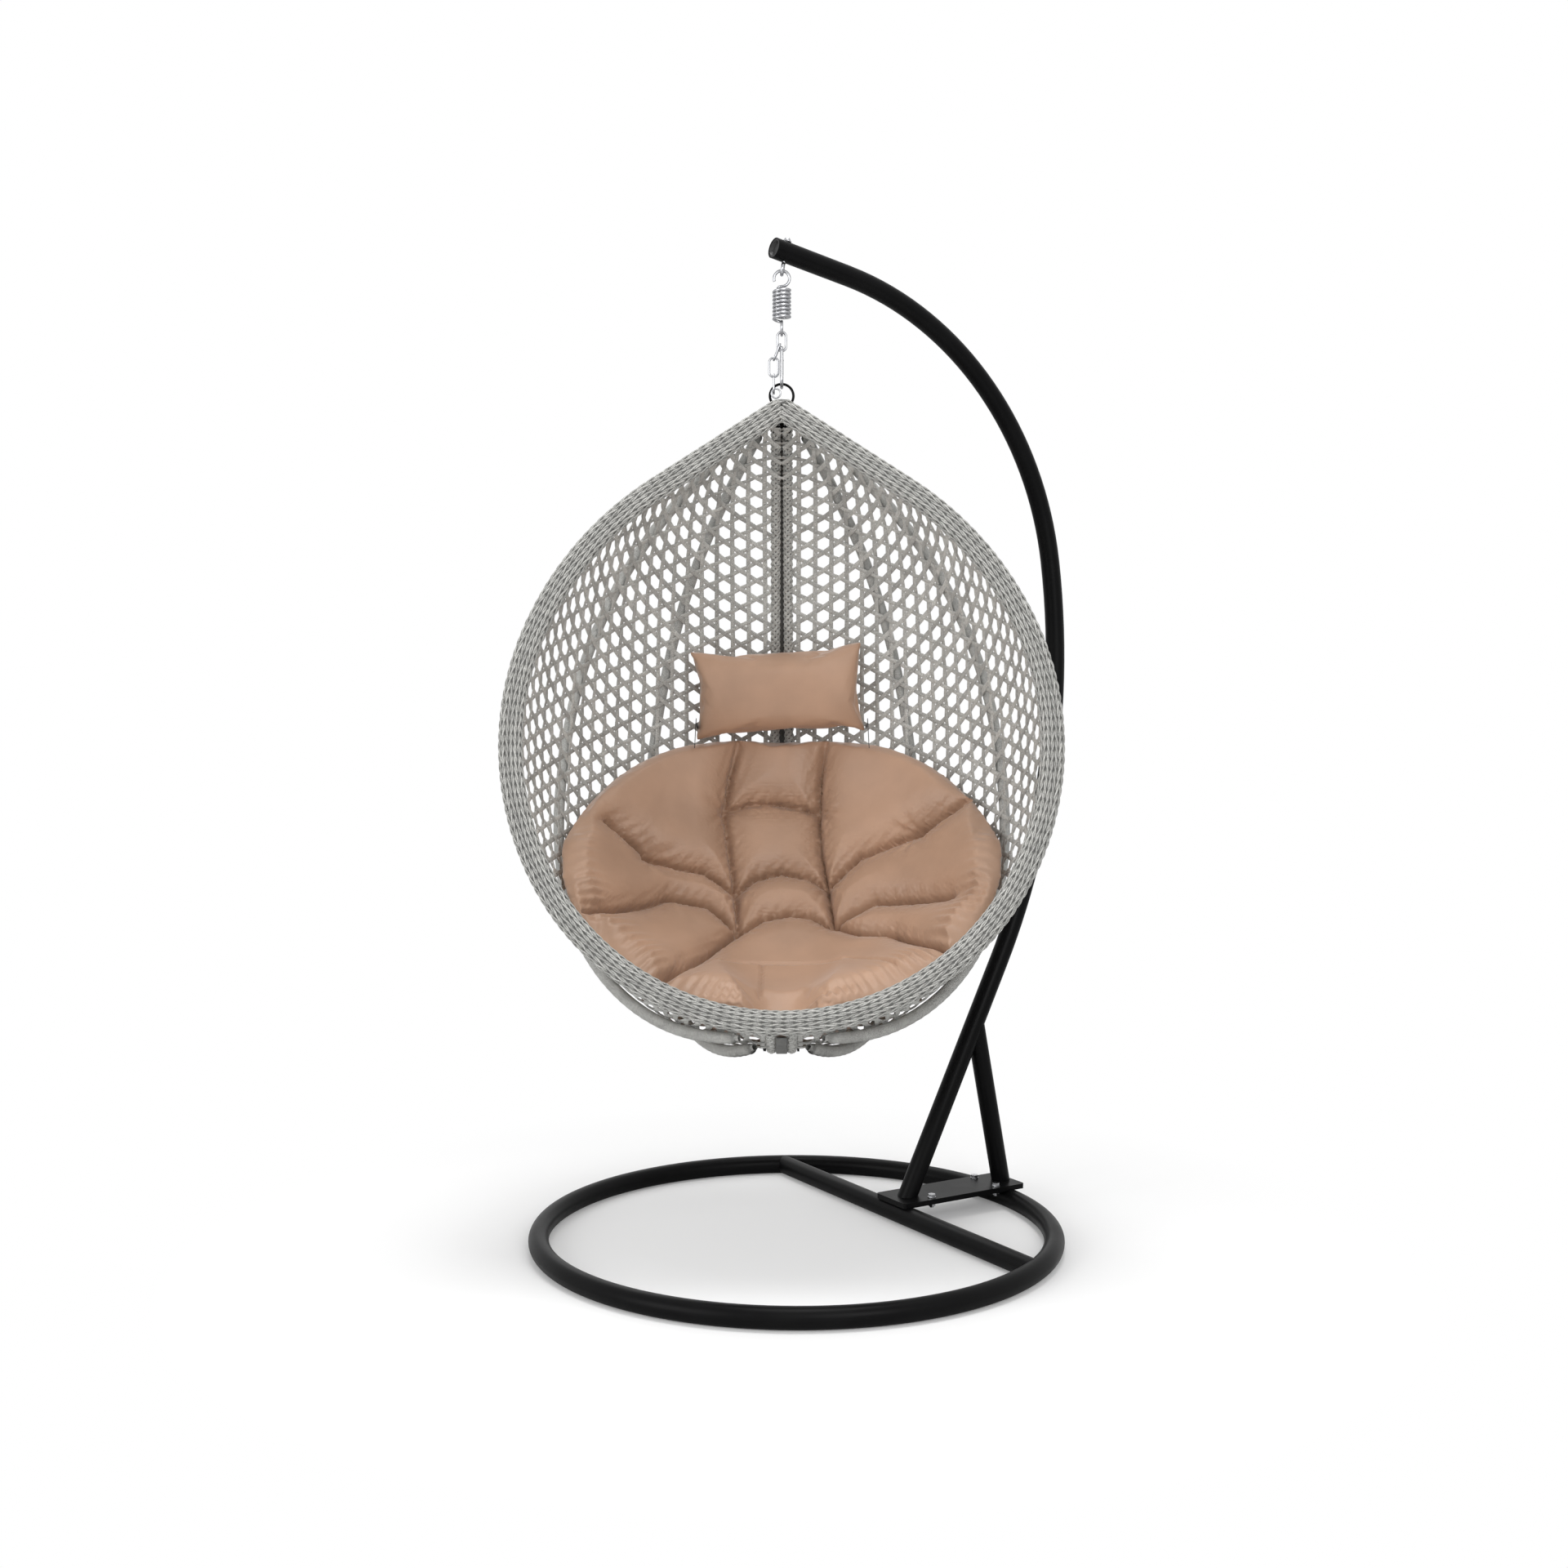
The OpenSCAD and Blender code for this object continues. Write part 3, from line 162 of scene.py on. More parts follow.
def rim_at(t):
    """Points of the rim's right half, from the peak."""
    x, z, _ = along(RIM_START, RIM_PIECES, np.asarray(t) * RIM_LEN)
    return np.stack([x, z * math.sin(MOUTH_LEAN), z * math.cos(MOUTH_LEAN)], -1)


def back_at(t):
    """Points of the back's middle line, from the peak."""
    y, z, _ = along(BACK_START, BACK_PIECES, np.asarray(t) * BACK_LEN)
    return np.stack([0 * y, y, z], -1)


def bowl(t, angle):
    """Points of the basket's surface: t from peak to bottom, angle from the rim to the middle of the back."""
    t, angle = np.broadcast_arrays(np.asarray(t, float), np.asarray(angle, float))
    rim, back = rim_at(t), back_at(t)
    e = 1 - SECTION_SQUARE * smooth_step((t - 0.35) / 0.45)
    turned = angle > math.pi / 2
    folded = np.where(turned, math.pi - angle, angle)
    c = np.power(np.clip(np.cos(folded), 0, 1), e)
    s = np.power(np.clip(np.sin(folded), 0, 1), e)
    x = rim[..., 0] * c * np.where(turned, -1, 1)
    y = rim[..., 1] + (back[..., 1] - rim[..., 1]) * s
    z = rim[..., 2] + (back[..., 2] - rim[..., 2]) * s
    return np.stack([x, y, z], -1)


def bowl_out(t, angle):
    """Outward directions of the basket's surface."""
    t, angle = np.broadcast_arrays(np.asarray(t, float), np.asarray(angle, float))
    a = np.clip(angle, 0.03, math.pi - 0.03)
    beside_middle = math.pi / 2 + np.where(a < math.pi / 2, -0.03, 0.03)
    a = np.where(abs(a - math.pi / 2) < 0.03, beside_middle, a)
    u = bowl(np.clip(t + 0.004, 0, 1), a) - bowl(np.clip(t - 0.004, 0, 1), a)
    v = bowl(t, a + 0.025) - bowl(t, a - 0.025)
    n = unit(np.cross(u, v))
    middle = abs(angle - math.pi / 2) < 0.03
    n[..., 0] = np.where(middle, n[..., 0] * abs(angle - math.pi / 2) / 0.03, n[..., 0])
    return unit(n)


def off_bowl(t, angle, distance):
    """Points at a distance from the surface, positive outside."""
    return bowl(t, angle) + bowl_out(t, angle) * np.asarray(distance)[..., None]


# ---- Mesh making ----
def new_piece(name, verts, faces, material, body=BASKET, replaces=(), smooth=True):
    """A mesh object in the row frame that rides on a body."""
    mesh = bpy.data.meshes.new(name)
    verts = np.asarray(verts, np.float32).reshape(-1, 3)
    faces = np.asarray(faces, np.int32)
    mesh.vertices.add(len(verts))
    mesh.vertices.foreach_set("co", verts.ravel())
    mesh.loops.add(faces.size)
    mesh.loops.foreach_set("vertex_index", faces.ravel())
    mesh.polygons.add(len(faces))
    mesh.polygons.foreach_set("loop_start", np.arange(len(faces), dtype=np.int32) * faces.shape[1])
    mesh.update(calc_edges=True)
    mesh.validate()
    mesh.polygons.foreach_set("use_smooth", np.full(len(mesh.polygons), smooth))
    piece = bpy.data.objects.new(name, mesh)
    bpy.context.scene.collection.objects.link(piece)
    mesh.materials.append(material)
    if body:
        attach(piece, body)
    if replaces:
        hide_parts(*replaces)
    return piece


class Strands:
    """Collects swept strands into one mesh."""

    def __init__(self):
        self.verts, self.faces, self.count = [], [], 0

    def sweep(self, points, ups, section, caps=True):
        """Carries a section, rows of (sideways, up), along points whose up directions are given."""
        n, m = len(points), len(section)
        if n < 2:
            return
        ahead = unit(np.gradient(points, axis=0))
        side = unit(np.cross(ahead, ups))
        up = np.cross(side, ahead)
        ring = points[:, None] + side[:, None] * section[..., :1] + up[:, None] * section[..., 1:]
        i, j = np.arange(n - 1)[:, None], np.arange(m)[None]
        a, b = i * m + j, i * m + (j + 1) % m
        c, d = b + m, a + m
        quads = np.stack([a, d, c, b], -1).reshape(-1, 4) + self.count
        self.verts.append(ring.reshape(-1, 3))
        self.faces.append(quads)
        self.count += n * m
        if caps and m % 2 == 0:
            for start, flip in ((self.count - n * m, False), (self.count - m, True)):
                for k in range(m // 2 - 1):
                    quad = [start + k, start + k + 1, start + m - 2 - k, start + m - 1 - k]
                    self.faces.append(np.array([quad[::-1] if flip else quad]))

    def piece(self, name, material, at=PEAK, **more):
        """The finished object, moved by at."""
        return new_piece(name, np.vstack(self.verts) + at, np.vstack(self.faces), material, **more)


def round_section(radius, sides, flat=1.0):
    """A round or flattened section."""
    a = np.arange(sides) * 2 * math.pi / sides
    return np.stack([radius * np.cos(a), radius * flat * np.sin(a)], -1)


def strip_section(width, thickness):
    """A flat strip with rounded edges."""
    w, t = width / 2, thickness / 2
    return np.array([[-w, 0], [-w * 0.82, -t], [w * 0.82, -t], [w, 0], [w * 0.82, t], [-w * 0.82, t]])


def mirrored(points):
    """The same points on the other half of the basket."""
    return points * np.array([-1, 1, 1])


# ---- Node groups and materials ----
def node_group(name, inputs):
    """An empty shader group with colour, roughness and height outputs, and its input and output nodes."""
    group = bpy.data.node_groups.new(name, "ShaderNodeTree")
    kinds = {"colour": "NodeSocketColor", "value": "NodeSocketFloat"}
    for label, kind, default in inputs:
        socket = group.interface.new_socket(label, in_out="INPUT", socket_type=kinds[kind])
        socket.default_value = default
    for label, kind in (("Color", "colour"), ("Roughness", "value"), ("Height", "value")):
        group.interface.new_socket(label, in_out="OUTPUT", socket_type=kinds[kind])
    return group, group.nodes.new("NodeGroupInput"), group.nodes.new("NodeGroupOutput")


def feed(tree, value, socket):
    """Links a socket's value to an input, or sets the input to a plain value."""
    if hasattr(value, "is_output"):
        tree.links.new(value, socket)
    else:
        socket.default_value = value


def noise(tree, coordinates, scale_from, detail=3.0, roughness=0.55):
    """A noise texture on the given coordinates, with its scale linked or set."""
    node = tree.nodes.new("ShaderNodeTexNoise")
    node.inputs["Detail"].default_value = detail
    node.inputs["Roughness"].default_value = roughness
    tree.links.new(coordinates, node.inputs["Vector"])
    feed(tree, scale_from, node.inputs["Scale"])
    return node.outputs["Fac"]


def mix_colour(tree, factor, first, second, blend="MIX"):
    """Mixes two colours, each a socket or a plain colour."""
    node = tree.nodes.new("ShaderNodeMix")
    node.data_type, node.blend_type = "RGBA", blend
    for value, socket in ((factor, node.inputs[0]), (first, node.inputs[6]), (second, node.inputs[7])):
        feed(tree, value, socket)
    return node.outputs[2]


def remap(tree, value, low, high, to_low, to_high):
    """Maps a value from one range to another, clamped."""
    node = tree.nodes.new("ShaderNodeMapRange")
    tree.links.new(value, node.inputs["Value"])
    for label, number in zip(("From Min", "From Max", "To Min", "To Max"), (low, high, to_low, to_high)):
        feed(tree, number, node.inputs[label])
    return node.outputs["Result"]


def calculate(tree, operation, first, second):
    """The result of a maths operation, such as MULTIPLY, on two values."""
    node = tree.nodes.new("ShaderNodeMath")
    node.operation = operation
    feed(tree, first, node.inputs[0])
    feed(tree, second, node.inputs[1])
    return node.outputs[0]


def mottle_group():
    """Mottled fibres: two shades broken up at two scales, with a matching height."""
    name = "Mottled Fibre"
    if name in bpy.data.node_groups:
        return bpy.data.node_groups[name]
    group, inputs, outputs = node_group(
        name,
        [
            ("Light", "colour", (0.6, 0.6, 0.6, 1)),
            ("Dark", "colour", (0.3, 0.3, 0.3, 1)),
            ("Grain", "value", 900.0),
            ("Patch", "value", 60.0),
            ("Piece", "value", 0.5),
        ],
    )
    position = group.nodes.new("ShaderNodeTexCoord").outputs["Object"]
    fine = noise(group, position, inputs.outputs["Grain"], 4.0, 0.7)
    patch = noise(group, position, inputs.outputs["Patch"], 2.0)
    speck = remap(group, fine, 0.38, 0.62, 0.0, 1.0)
    base = mix_colour(group, speck, inputs.outputs["Dark"], inputs.outputs["Light"])
    shade = remap(group, patch, 0.3, 0.7, 0.86, 1.08)
    toned = mix_colour(group, 1.0, base, shade, "MULTIPLY")
    own = remap(group, inputs.outputs["Piece"], 0.0, 1.0, 0.78, 1.1)
    group.links.new(mix_colour(group, 1.0, toned, own, "MULTIPLY"), outputs.inputs["Color"])
    group.links.new(remap(group, fine, 0.3, 0.7, 0.78, 0.6), outputs.inputs["Roughness"])
    group.links.new(fine, outputs.inputs["Height"])
    return group


def coat_group():
    """Powder coat: fine orange peel, a slow change of gloss and faint dust."""
    name = "Powder Coat"
    if name in bpy.data.node_groups:
        return bpy.data.node_groups[name]
    group, inputs, outputs = node_group(
        name,
        [("Paint", "colour", (0.02, 0.02, 0.02, 1)), ("Gloss", "value", 0.35), ("Peel", "value", 700.0)],
    )
    position = group.nodes.new("ShaderNodeTexCoord").outputs["Object"]
    peel = noise(group, position, inputs.outputs["Peel"], 2.0)
    slow = noise(group, position, 7.0, 3.0)
    dust = remap(group, slow, 0.45, 0.8, 0.0, 0.008)
    group.links.new(
        mix_colour(group, dust, inputs.outputs["Paint"], (0.3, 0.3, 0.3, 1)), outputs.inputs["Color"]
    )
    spread = remap(group, slow, 0.3, 0.7, -0.05, 0.06)
    add = group.nodes.new("ShaderNodeMath")
    group.links.new(inputs.outputs["Gloss"], add.inputs[0])
    group.links.new(spread, add.inputs[1])
    group.links.new(add.outputs[0], outputs.inputs["Roughness"])
    group.links.new(peel, outputs.inputs["Height"])
    return group


def cloth_group():
    """Satin cloth: a fine over and under weave and slow changes of shade."""
    name = "Satin Weave"
    if name in bpy.data.node_groups:
        return bpy.data.node_groups[name]
    group, inputs, outputs = node_group(
        name,
        [
            ("Cloth", "colour", (0.4, 0.25, 0.17, 1)),
            ("Thread", "value", 1900.0),
            ("Sheen Patch", "value", 9.0),
        ],
    )
    position = group.nodes.new("ShaderNodeTexCoord").outputs["Object"]
    thread = noise(group, position, inputs.outputs["Thread"], 2.0)
    slow = noise(group, position, inputs.outputs["Sheen Patch"], 3.0)
    shade = remap(group, slow, 0.3, 0.7, 0.9, 1.08)
    toned = mix_colour(group, 1.0, inputs.outputs["Cloth"], shade, "MULTIPLY")
    grain = remap(group, thread, 0.3, 0.7, 0.94, 1.05)
    group.links.new(mix_colour(group, 1.0, toned, grain, "MULTIPLY"), outputs.inputs["Color"])
    group.links.new(remap(group, slow, 0.3, 0.7, 0.46, 0.56), outputs.inputs["Roughness"])
    group.links.new(thread, outputs.inputs["Height"])
    return group


def finish(name, group, values, bump, **plain):
    """A material whose shader takes colour, roughness and height from a group."""
    if name in bpy.data.materials:
        return bpy.data.materials[name]
    material = bpy.data.materials.new(name)
    material.use_nodes = True
    tree = material.node_tree
    shader = tree.nodes["Principled BSDF"]
    for label, value in plain.items():
        shader.inputs[label.replace("_", " ")].default_value = value
    detail = tree.nodes.new("ShaderNodeGroup")
    detail.node_tree = group
    for label, value in values.items():
        if value == "per piece":
            value = tree.nodes.new("ShaderNodeNewGeometry").outputs["Random Per Island"]
        feed(tree, value, detail.inputs[label])
    tree.links.new(detail.outputs["Color"], shader.inputs["Base Color"])
    tree.links.new(detail.outputs["Roughness"], shader.inputs["Roughness"])
    relief = tree.nodes.new("ShaderNodeBump")
    relief.inputs["Strength"].default_value = bump[0]
    relief.inputs["Distance"].default_value = bump[1]
    tree.links.new(detail.outputs["Height"], relief.inputs["Height"])
    tree.links.new(relief.outputs["Normal"], shader.inputs["Normal"])
    return material


def colours():
    return bpy.context.scene.egg_chair_colours


def sizes():
    return bpy.context.scene.egg_chair_sizes


def with_alpha(colour, shade=1.0):
    return tuple(c * shade for c in colour) + (1.0,)


def weave_finish():
    light = colours().weave
    values = {"Light": with_alpha(light), "Dark": with_alpha(light, 0.3), "Piece": "per piece"}
    return finish("Woven strip", mottle_group(), values, (0.35, 0.0006))


# The weave's colour darkened to 0.72 and 0.26 for the rib wrapping: painted shade, for ribs that lie in shade
# behind the weave.
def shaded_wrap_finish():
    light = colours().weave
    values = {"Light": with_alpha(light, 0.72), "Dark": with_alpha(light, 0.26), "Piece": "per piece"}
    return finish("Wrapped strip in painted shade", mottle_group(), values, (0.35, 0.0006))


def rope_finish():
    light = colours().rope
    values = {
        "Light": with_alpha(light),
        "Dark": with_alpha(light, 0.22),
        "Grain": 1100.0,
        "Piece": "per piece",
    }
    return finish("Twisted rope", mottle_group(), values, (0.3, 0.0005))


# Near-black copy of the weave colour for the sheets under the ropes and braids: painted shade, so that the
# gaps between strands read dark.
def painted_shade_core_finish():
    values = {"Light": with_alpha(colours().weave, 0.3), "Dark": with_alpha(colours().weave, 0.12)}
    return finish("Painted shade core", mottle_group(), values, (0.2, 0.0005))


def steel_finish():
    values = {"Paint": with_alpha(colours().steel)}
    return finish("Black powder coat", coat_group(), values, (0.12, 0.0003), Specular_IOR_Level=0.06)


def zinc_finish():
    values = {"Paint": (0.42, 0.425, 0.44, 1), "Gloss": 0.28, "Peel": 260.0}
    return finish("Bright zinc", coat_group(), values, (0.08, 0.0003), Metallic=1.0)


def plastic_finish():
    values = {"Paint": (0.012, 0.012, 0.012, 1), "Gloss": 0.5, "Peel": 500.0}
    return finish("Moulded plastic", coat_group(), values, (0.1, 0.0003))


def cloth_finish():
    values = {"Cloth": with_alpha(colours().cloth)}
    return finish("Satin cloth", cloth_group(), values, (0.1, 0.0002), Sheen_Weight=0.25, Sheen_Roughness=0.4)


def tape_finish():
    values = {"Cloth": (0.015, 0.015, 0.016, 1)}
    return finish("Black tape", cloth_group(), values, (0.2, 0.0003))


# ---- Settings ----
class EggChairColours(bpy.types.PropertyGroup):
    """Colours of the chair's finishes."""

    weave: bpy.props.FloatVectorProperty(
        name="Weave",
        description="Light shade of the woven strips",
        subtype="COLOR",
        size=3,
        default=(0.7, 0.695, 0.66),
    )
    rope: bpy.props.FloatVectorProperty(
        name="Rope",
        description="Light shade of the rim's ropes",
        subtype="COLOR",
        size=3,
        default=(0.72, 0.715, 0.68),
    )
    steel: bpy.props.FloatVectorProperty(
        name="Steel",
        description="Powder coat of the stand",
        subtype="COLOR",
        size=3,
        default=(0.004, 0.004, 0.0042),
    )
    cloth: bpy.props.FloatVectorProperty(
        name="Cloth",
        description="Satin of the cushions",
        subtype="COLOR",
        size=3,
        default=(0.42, 0.258, 0.17),
    )


class EggChairSizes(bpy.types.PropertyGroup):
    """Sizes of the weave, ropes and cushions."""

    strip_pitch: bpy.props.FloatProperty(
        name="Strip spacing", description="Distance between woven strips", subtype="DISTANCE", default=0.0335
    )
    strip_width: bpy.props.FloatProperty(
        name="Strip width", description="Width of a woven strip", subtype="DISTANCE", default=0.0089
    )
    strip_thickness: bpy.props.FloatProperty(
        name="Strip thickness", description="Thickness of a woven strip", subtype="DISTANCE", default=0.0012
    )
    strip_lift: bpy.props.FloatProperty(
        name="Strip lift",
        description="Rise of a strip where it passes over",
        subtype="DISTANCE",
        default=0.0009,
    )
    rope_width: bpy.props.FloatProperty(
        name="Rope width", description="Width of one rim rope", subtype="DISTANCE", default=0.0064
    )
    rope_lay: bpy.props.FloatProperty(
        name="Rope lay",
        description="Length of one full twist of a rim rope",
        subtype="DISTANCE",
        default=0.037,
    )
    rib_width: bpy.props.FloatProperty(
        name="Rib width", description="Diameter of a wrapped rib", subtype="DISTANCE", default=0.02
    )
    wrap_pitch: bpy.props.FloatProperty(
        name="Wrap pitch",
        description="Advance of a rib's wrapping per turn",
        subtype="DISTANCE",
        default=0.019,
    )
    cushion_thickness: bpy.props.FloatProperty(
        name="Cushion thickness",
        description="Thickness of the seat cushion",
        subtype="DISTANCE",
        default=0.12,
    )
    pillow_size: bpy.props.FloatVectorProperty(
        name="Pillow size",
        description="Width and height of the pillow",
        subtype="XYZ_LENGTH",
        size=2,
        default=(0.335, 0.175),
    )


# ---- Weave ----
class WeaveMap:
    """Turns lengths on the basket into its points: u from the middle line, v down from the peak."""

    def __init__(self):
        self.length = 1.72
        self.ts = np.linspace(0.004, 0.996, 420)
        self.angles = np.linspace(math.pi / 2, 0, 160)
        grid = bowl(self.ts[:, None], self.angles[None])
        steps = np.linalg.norm(np.diff(grid, axis=1), axis=-1)
        self.reach = np.concatenate([np.zeros((len(self.ts), 1)), np.cumsum(steps, 1)], 1)

    def width(self, v):
        """How far the rim is from the middle line at v."""
        return np.interp(v / self.length, self.ts, self.reach[:, -1])

    def place(self, u, v):
        """t and angle of points given in lengths."""
        t = np.clip(v / self.length, self.ts[0], self.ts[-1])
        row = np.clip((t - self.ts[0]) / (self.ts[1] - self.ts[0]), 0, len(self.ts) - 1.001)
        low = row.astype(int)
        share = row - low
        found = np.empty_like(u)
        for i, (k, f, distance) in enumerate(zip(low, share, u)):
            reach = self.reach[k] * (1 - f) + self.reach[k + 1] * f
            found[i] = np.interp(distance, reach, self.angles)
        return t, found


def runs(mask):
    """Start and end of each stretch of True."""
    edges = np.flatnonzero(np.diff(np.concatenate([[0], mask.astype(int), [0]])))
    return list(zip(edges[::2], edges[1::2]))


def woven_strips(chart, left):
    """The open hexagonal weave of one half: three ways of strips, each over one way and under the other."""
    size = sizes()
    pitch, lift = size.strip_pitch, size.strip_lift
    root3 = math.sqrt(3)
    ways = (
        (np.array([1.0, 0.0]), 0.0),
        (np.array([-0.5, root3 / 2]), 0.0),
        (np.array([-0.5, -root3 / 2]), 0.5),
    )
    strands = Strands()
    section = strip_section(size.strip_width, size.strip_thickness)
    span = chart.length + 1.0
    for way, (normal, offset) in enumerate(ways):
        direction = np.array([-normal[1], normal[0]])
        lines = int(span / pitch) + 2
        for k in range(-lines, lines):
            base = normal * (k + offset) * pitch
            s = np.arange(-span * 1.3, span * 1.3, 0.0046)
            u, v = base[0] + direction[0] * s, base[1] + direction[1] * s
            inside = u > np.where(v < CROWN_FOOT, 0, CENTRE_X + 0.004)
            inside &= (v > 0.022) & (v < chart.length * 0.985)
            inside[inside] &= u[inside] < chart.width(v[inside]) - 0.008
            for start, end in runs(inside):
                if end - start < 5:
                    continue
                uu, vv = u[start:end], v[start:end]
                follow, shift = ways[(way + 1) % 3]
                phase = (follow[0] * uu + follow[1] * vv) / pitch - shift
                over_braid = smooth_step((CROWN_FOOT + 0.02 - vv) / 0.04) * np.exp(-((uu / 0.024) ** 2))
                height = lift * np.cos(2 * math.pi * phase) - 0.0135 * over_braid
                t, angle = chart.place(uu, vv)
                points, ups = off_bowl(t, angle, height), bowl_out(t, angle)
                if left:
                    points, ups = mirrored(points), mirrored(ups)
                strands.sweep(points, ups, section, caps=False)
    return strands


class EGGCHAIR_OT_weave(bpy.types.Operator):
    """Weaves the two open panels of the basket"""

    bl_idname = "egg_chair.weave"
    bl_label = "Weave Panels"

    def execute(self, context):
        chart = WeaveMap()
        for name, left in (("left_woven_panel", True), ("right_woven_panel", False)):
            piece = woven_strips(chart, left).piece(name + "_strips", weave_finish(), replaces=(name,))
        return {"FINISHED"}


class EGGCHAIR_OT_ribs(bpy.types.Operator):
    """Winds flat strip round the four ribs"""

    bl_idname = "egg_chair.ribs"
    bl_label = "Wrap Ribs"

    def execute(self, context):
        size = sizes()
        for kind, (angle, drift) in RIB_ANGLES.items():
            for side in ("left", "right"):
                name = f"{side}_{kind}_rib"
                self.rib(name, math.radians(angle), math.radians(drift), side == "left", size)
        return {"FINISHED"}

    def rib(self, name, angle, drift, left, size):
        ts = np.linspace(RIB_FROM, RIB_TO, 620)
        angles = angle - drift * smooth_step((ts - 0.45) / 0.35)
        lift = WEAVE_T / 2 + size.rib_width / 2 + 0.001
        points, ups = off_bowl(ts, angles, lift + 0 * ts), bowl_out(ts, angles)
        if left:
            points, ups = mirrored(points), mirrored(ups)
        s = np.concatenate([[0], np.cumsum(np.linalg.norm(np.diff(points, axis=0), axis=1))])
        sides = 20
        around = np.arange(sides) / sides
        turn = (s[:, None] / size.wrap_pitch + around[None]) % 1.0
        ridge = np.minimum(turn / 0.14, 1.0) * (1 - 0.3 * turn)
        radius = size.rib_width / 2 * (0.72 + 0.28 * ridge)
        radius *= np.clip(np.minimum(s, s[-1] - s) / 0.012, 0.35, 1)[:, None] ** 0.5
        a = around * 2 * math.pi
        # Known fault: sweep takes the number of sections here, one for each point, as the number of sides, so
        # the faces join rings far apart and flatten the wrapping
        sections = np.stack([radius * np.cos(a), radius * np.sin(a)], -1)
        strands = Strands()
        strands.sweep(points, ups, sections)
        strands.piece(name + "_wrap", shaded_wrap_finish(), replaces=(name,))


# ---- Rim ropes and centre braids ----
def rim_frame(count):
    """Points, sideways and outward directions of the whole rim, from the peak round and back."""
    s = (np.arange(count) + 0.5) / count * 2 * RIM_LEN
    left = s > RIM_LEN
    x, z, h = along(RIM_START, RIM_PIECES, np.where(left, 2 * RIM_LEN - s, s))
    flip = np.where(left, -1.0, 1.0)
    across, up = np.sin(MOUTH_LEAN), np.cos(MOUTH_LEAN)
    points = np.stack([x * flip, z * across, z * up], -1)
    outward = np.stack([-np.sin(h) * flip, np.cos(h) * across, np.cos(h) * up], -1)
    return s, points, outward, np.array([0.0, -up, across])


def stadium(share, straight, radius):
    """A point of a stadium at each share of its way round, and the outward direction there."""
    length = 2 * straight + 2 * math.pi * radius
    d = (share % 1.0) * length
    half_turn = math.pi * radius
    right = d < half_turn
    top = (d >= half_turn) & (d < half_turn + straight)
    left = (d >= half_turn + straight) & (d < 2 * half_turn + straight)
    a = np.where(right, d / radius - math.pi / 2, (d - half_turn - straight) / radius + math.pi / 2)
    along_top = straight / 2 - (d - half_turn)
    along_foot = (d - 2 * half_turn - straight) - straight / 2
    x = np.where(right, straight / 2, -straight / 2) + radius * np.cos(a)
    x = np.where(top, along_top, np.where(right | left, x, along_foot))
    y = np.where(top, radius, np.where(right | left, radius * np.sin(a), -radius))
    nx = np.where(right | left, np.cos(a), 0.0)
    ny = np.where(right | left, np.sin(a), np.where(top, 1.0, -1.0))
    return x, y, nx, ny


class EGGCHAIR_OT_rim(bpy.types.Operator):
    """Lays twisted ropes side by side round the rim's steel hoop"""

    bl_idname = "egg_chair.rim"
    bl_label = "Rope the Rim"

    def execute(self, context):
        size = sizes()
        rope_r = size.rope_width / 2
        ropes = 15
        ply_section = round_section(rope_r * 0.5, 8, 0.95)
        per_half = int(RIM_LEN / 0.0038)
        s, points, outward, forward = rim_frame(2 * per_half)
        halves = {"right": np.arange(-1, per_half + 1), "left": np.arange(per_half - 1, 2 * per_half + 1)}
        shade_core = Strands()
        for side, part in halves.items():
            strands = Strands()
            part = part % len(s)
            centre, out = points[part], outward[part]
            for k in range(ropes):
                x, y, nx, ny = stadium(np.array([k / ropes]), BAND_W - BAND_DEPTH, BAND_DEPTH / 2 - rope_r)
                line = centre + out * x[0] + forward * y[0]
                away = out * nx[0] + forward * ny[0]
                beside = unit(np.cross(np.gradient(line, axis=0), away))
                for ply in (0, 1):
                    twist = (-1) ** k * 2 * math.pi * s[part] / size.rope_lay + math.pi * ply + 1.7 * k
                    lean = np.cos(twist)[:, None] * beside + np.sin(twist)[:, None] * away
                    strands.sweep(line + lean * rope_r * 0.5, lean, ply_section, caps=False)
            # A dark stadium sheet just under the ropes: painted shade that shows through the gaps between
            # them.
            around = np.arange(24) / 24
            x, y, _, _ = stadium(around, BAND_W - BAND_DEPTH, BAND_DEPTH / 2 - rope_r * 1.1)
            shade_core.sweep(centre, out, np.stack([-y, x], -1), caps=False)
            name = f"{side}_rim_winding"
            strands.piece(name + "_ropes", rope_finish(), replaces=(name,))
        shade_core.piece("rim_winding_painted_shade", painted_shade_core_finish())
        return {"FINISHED"}


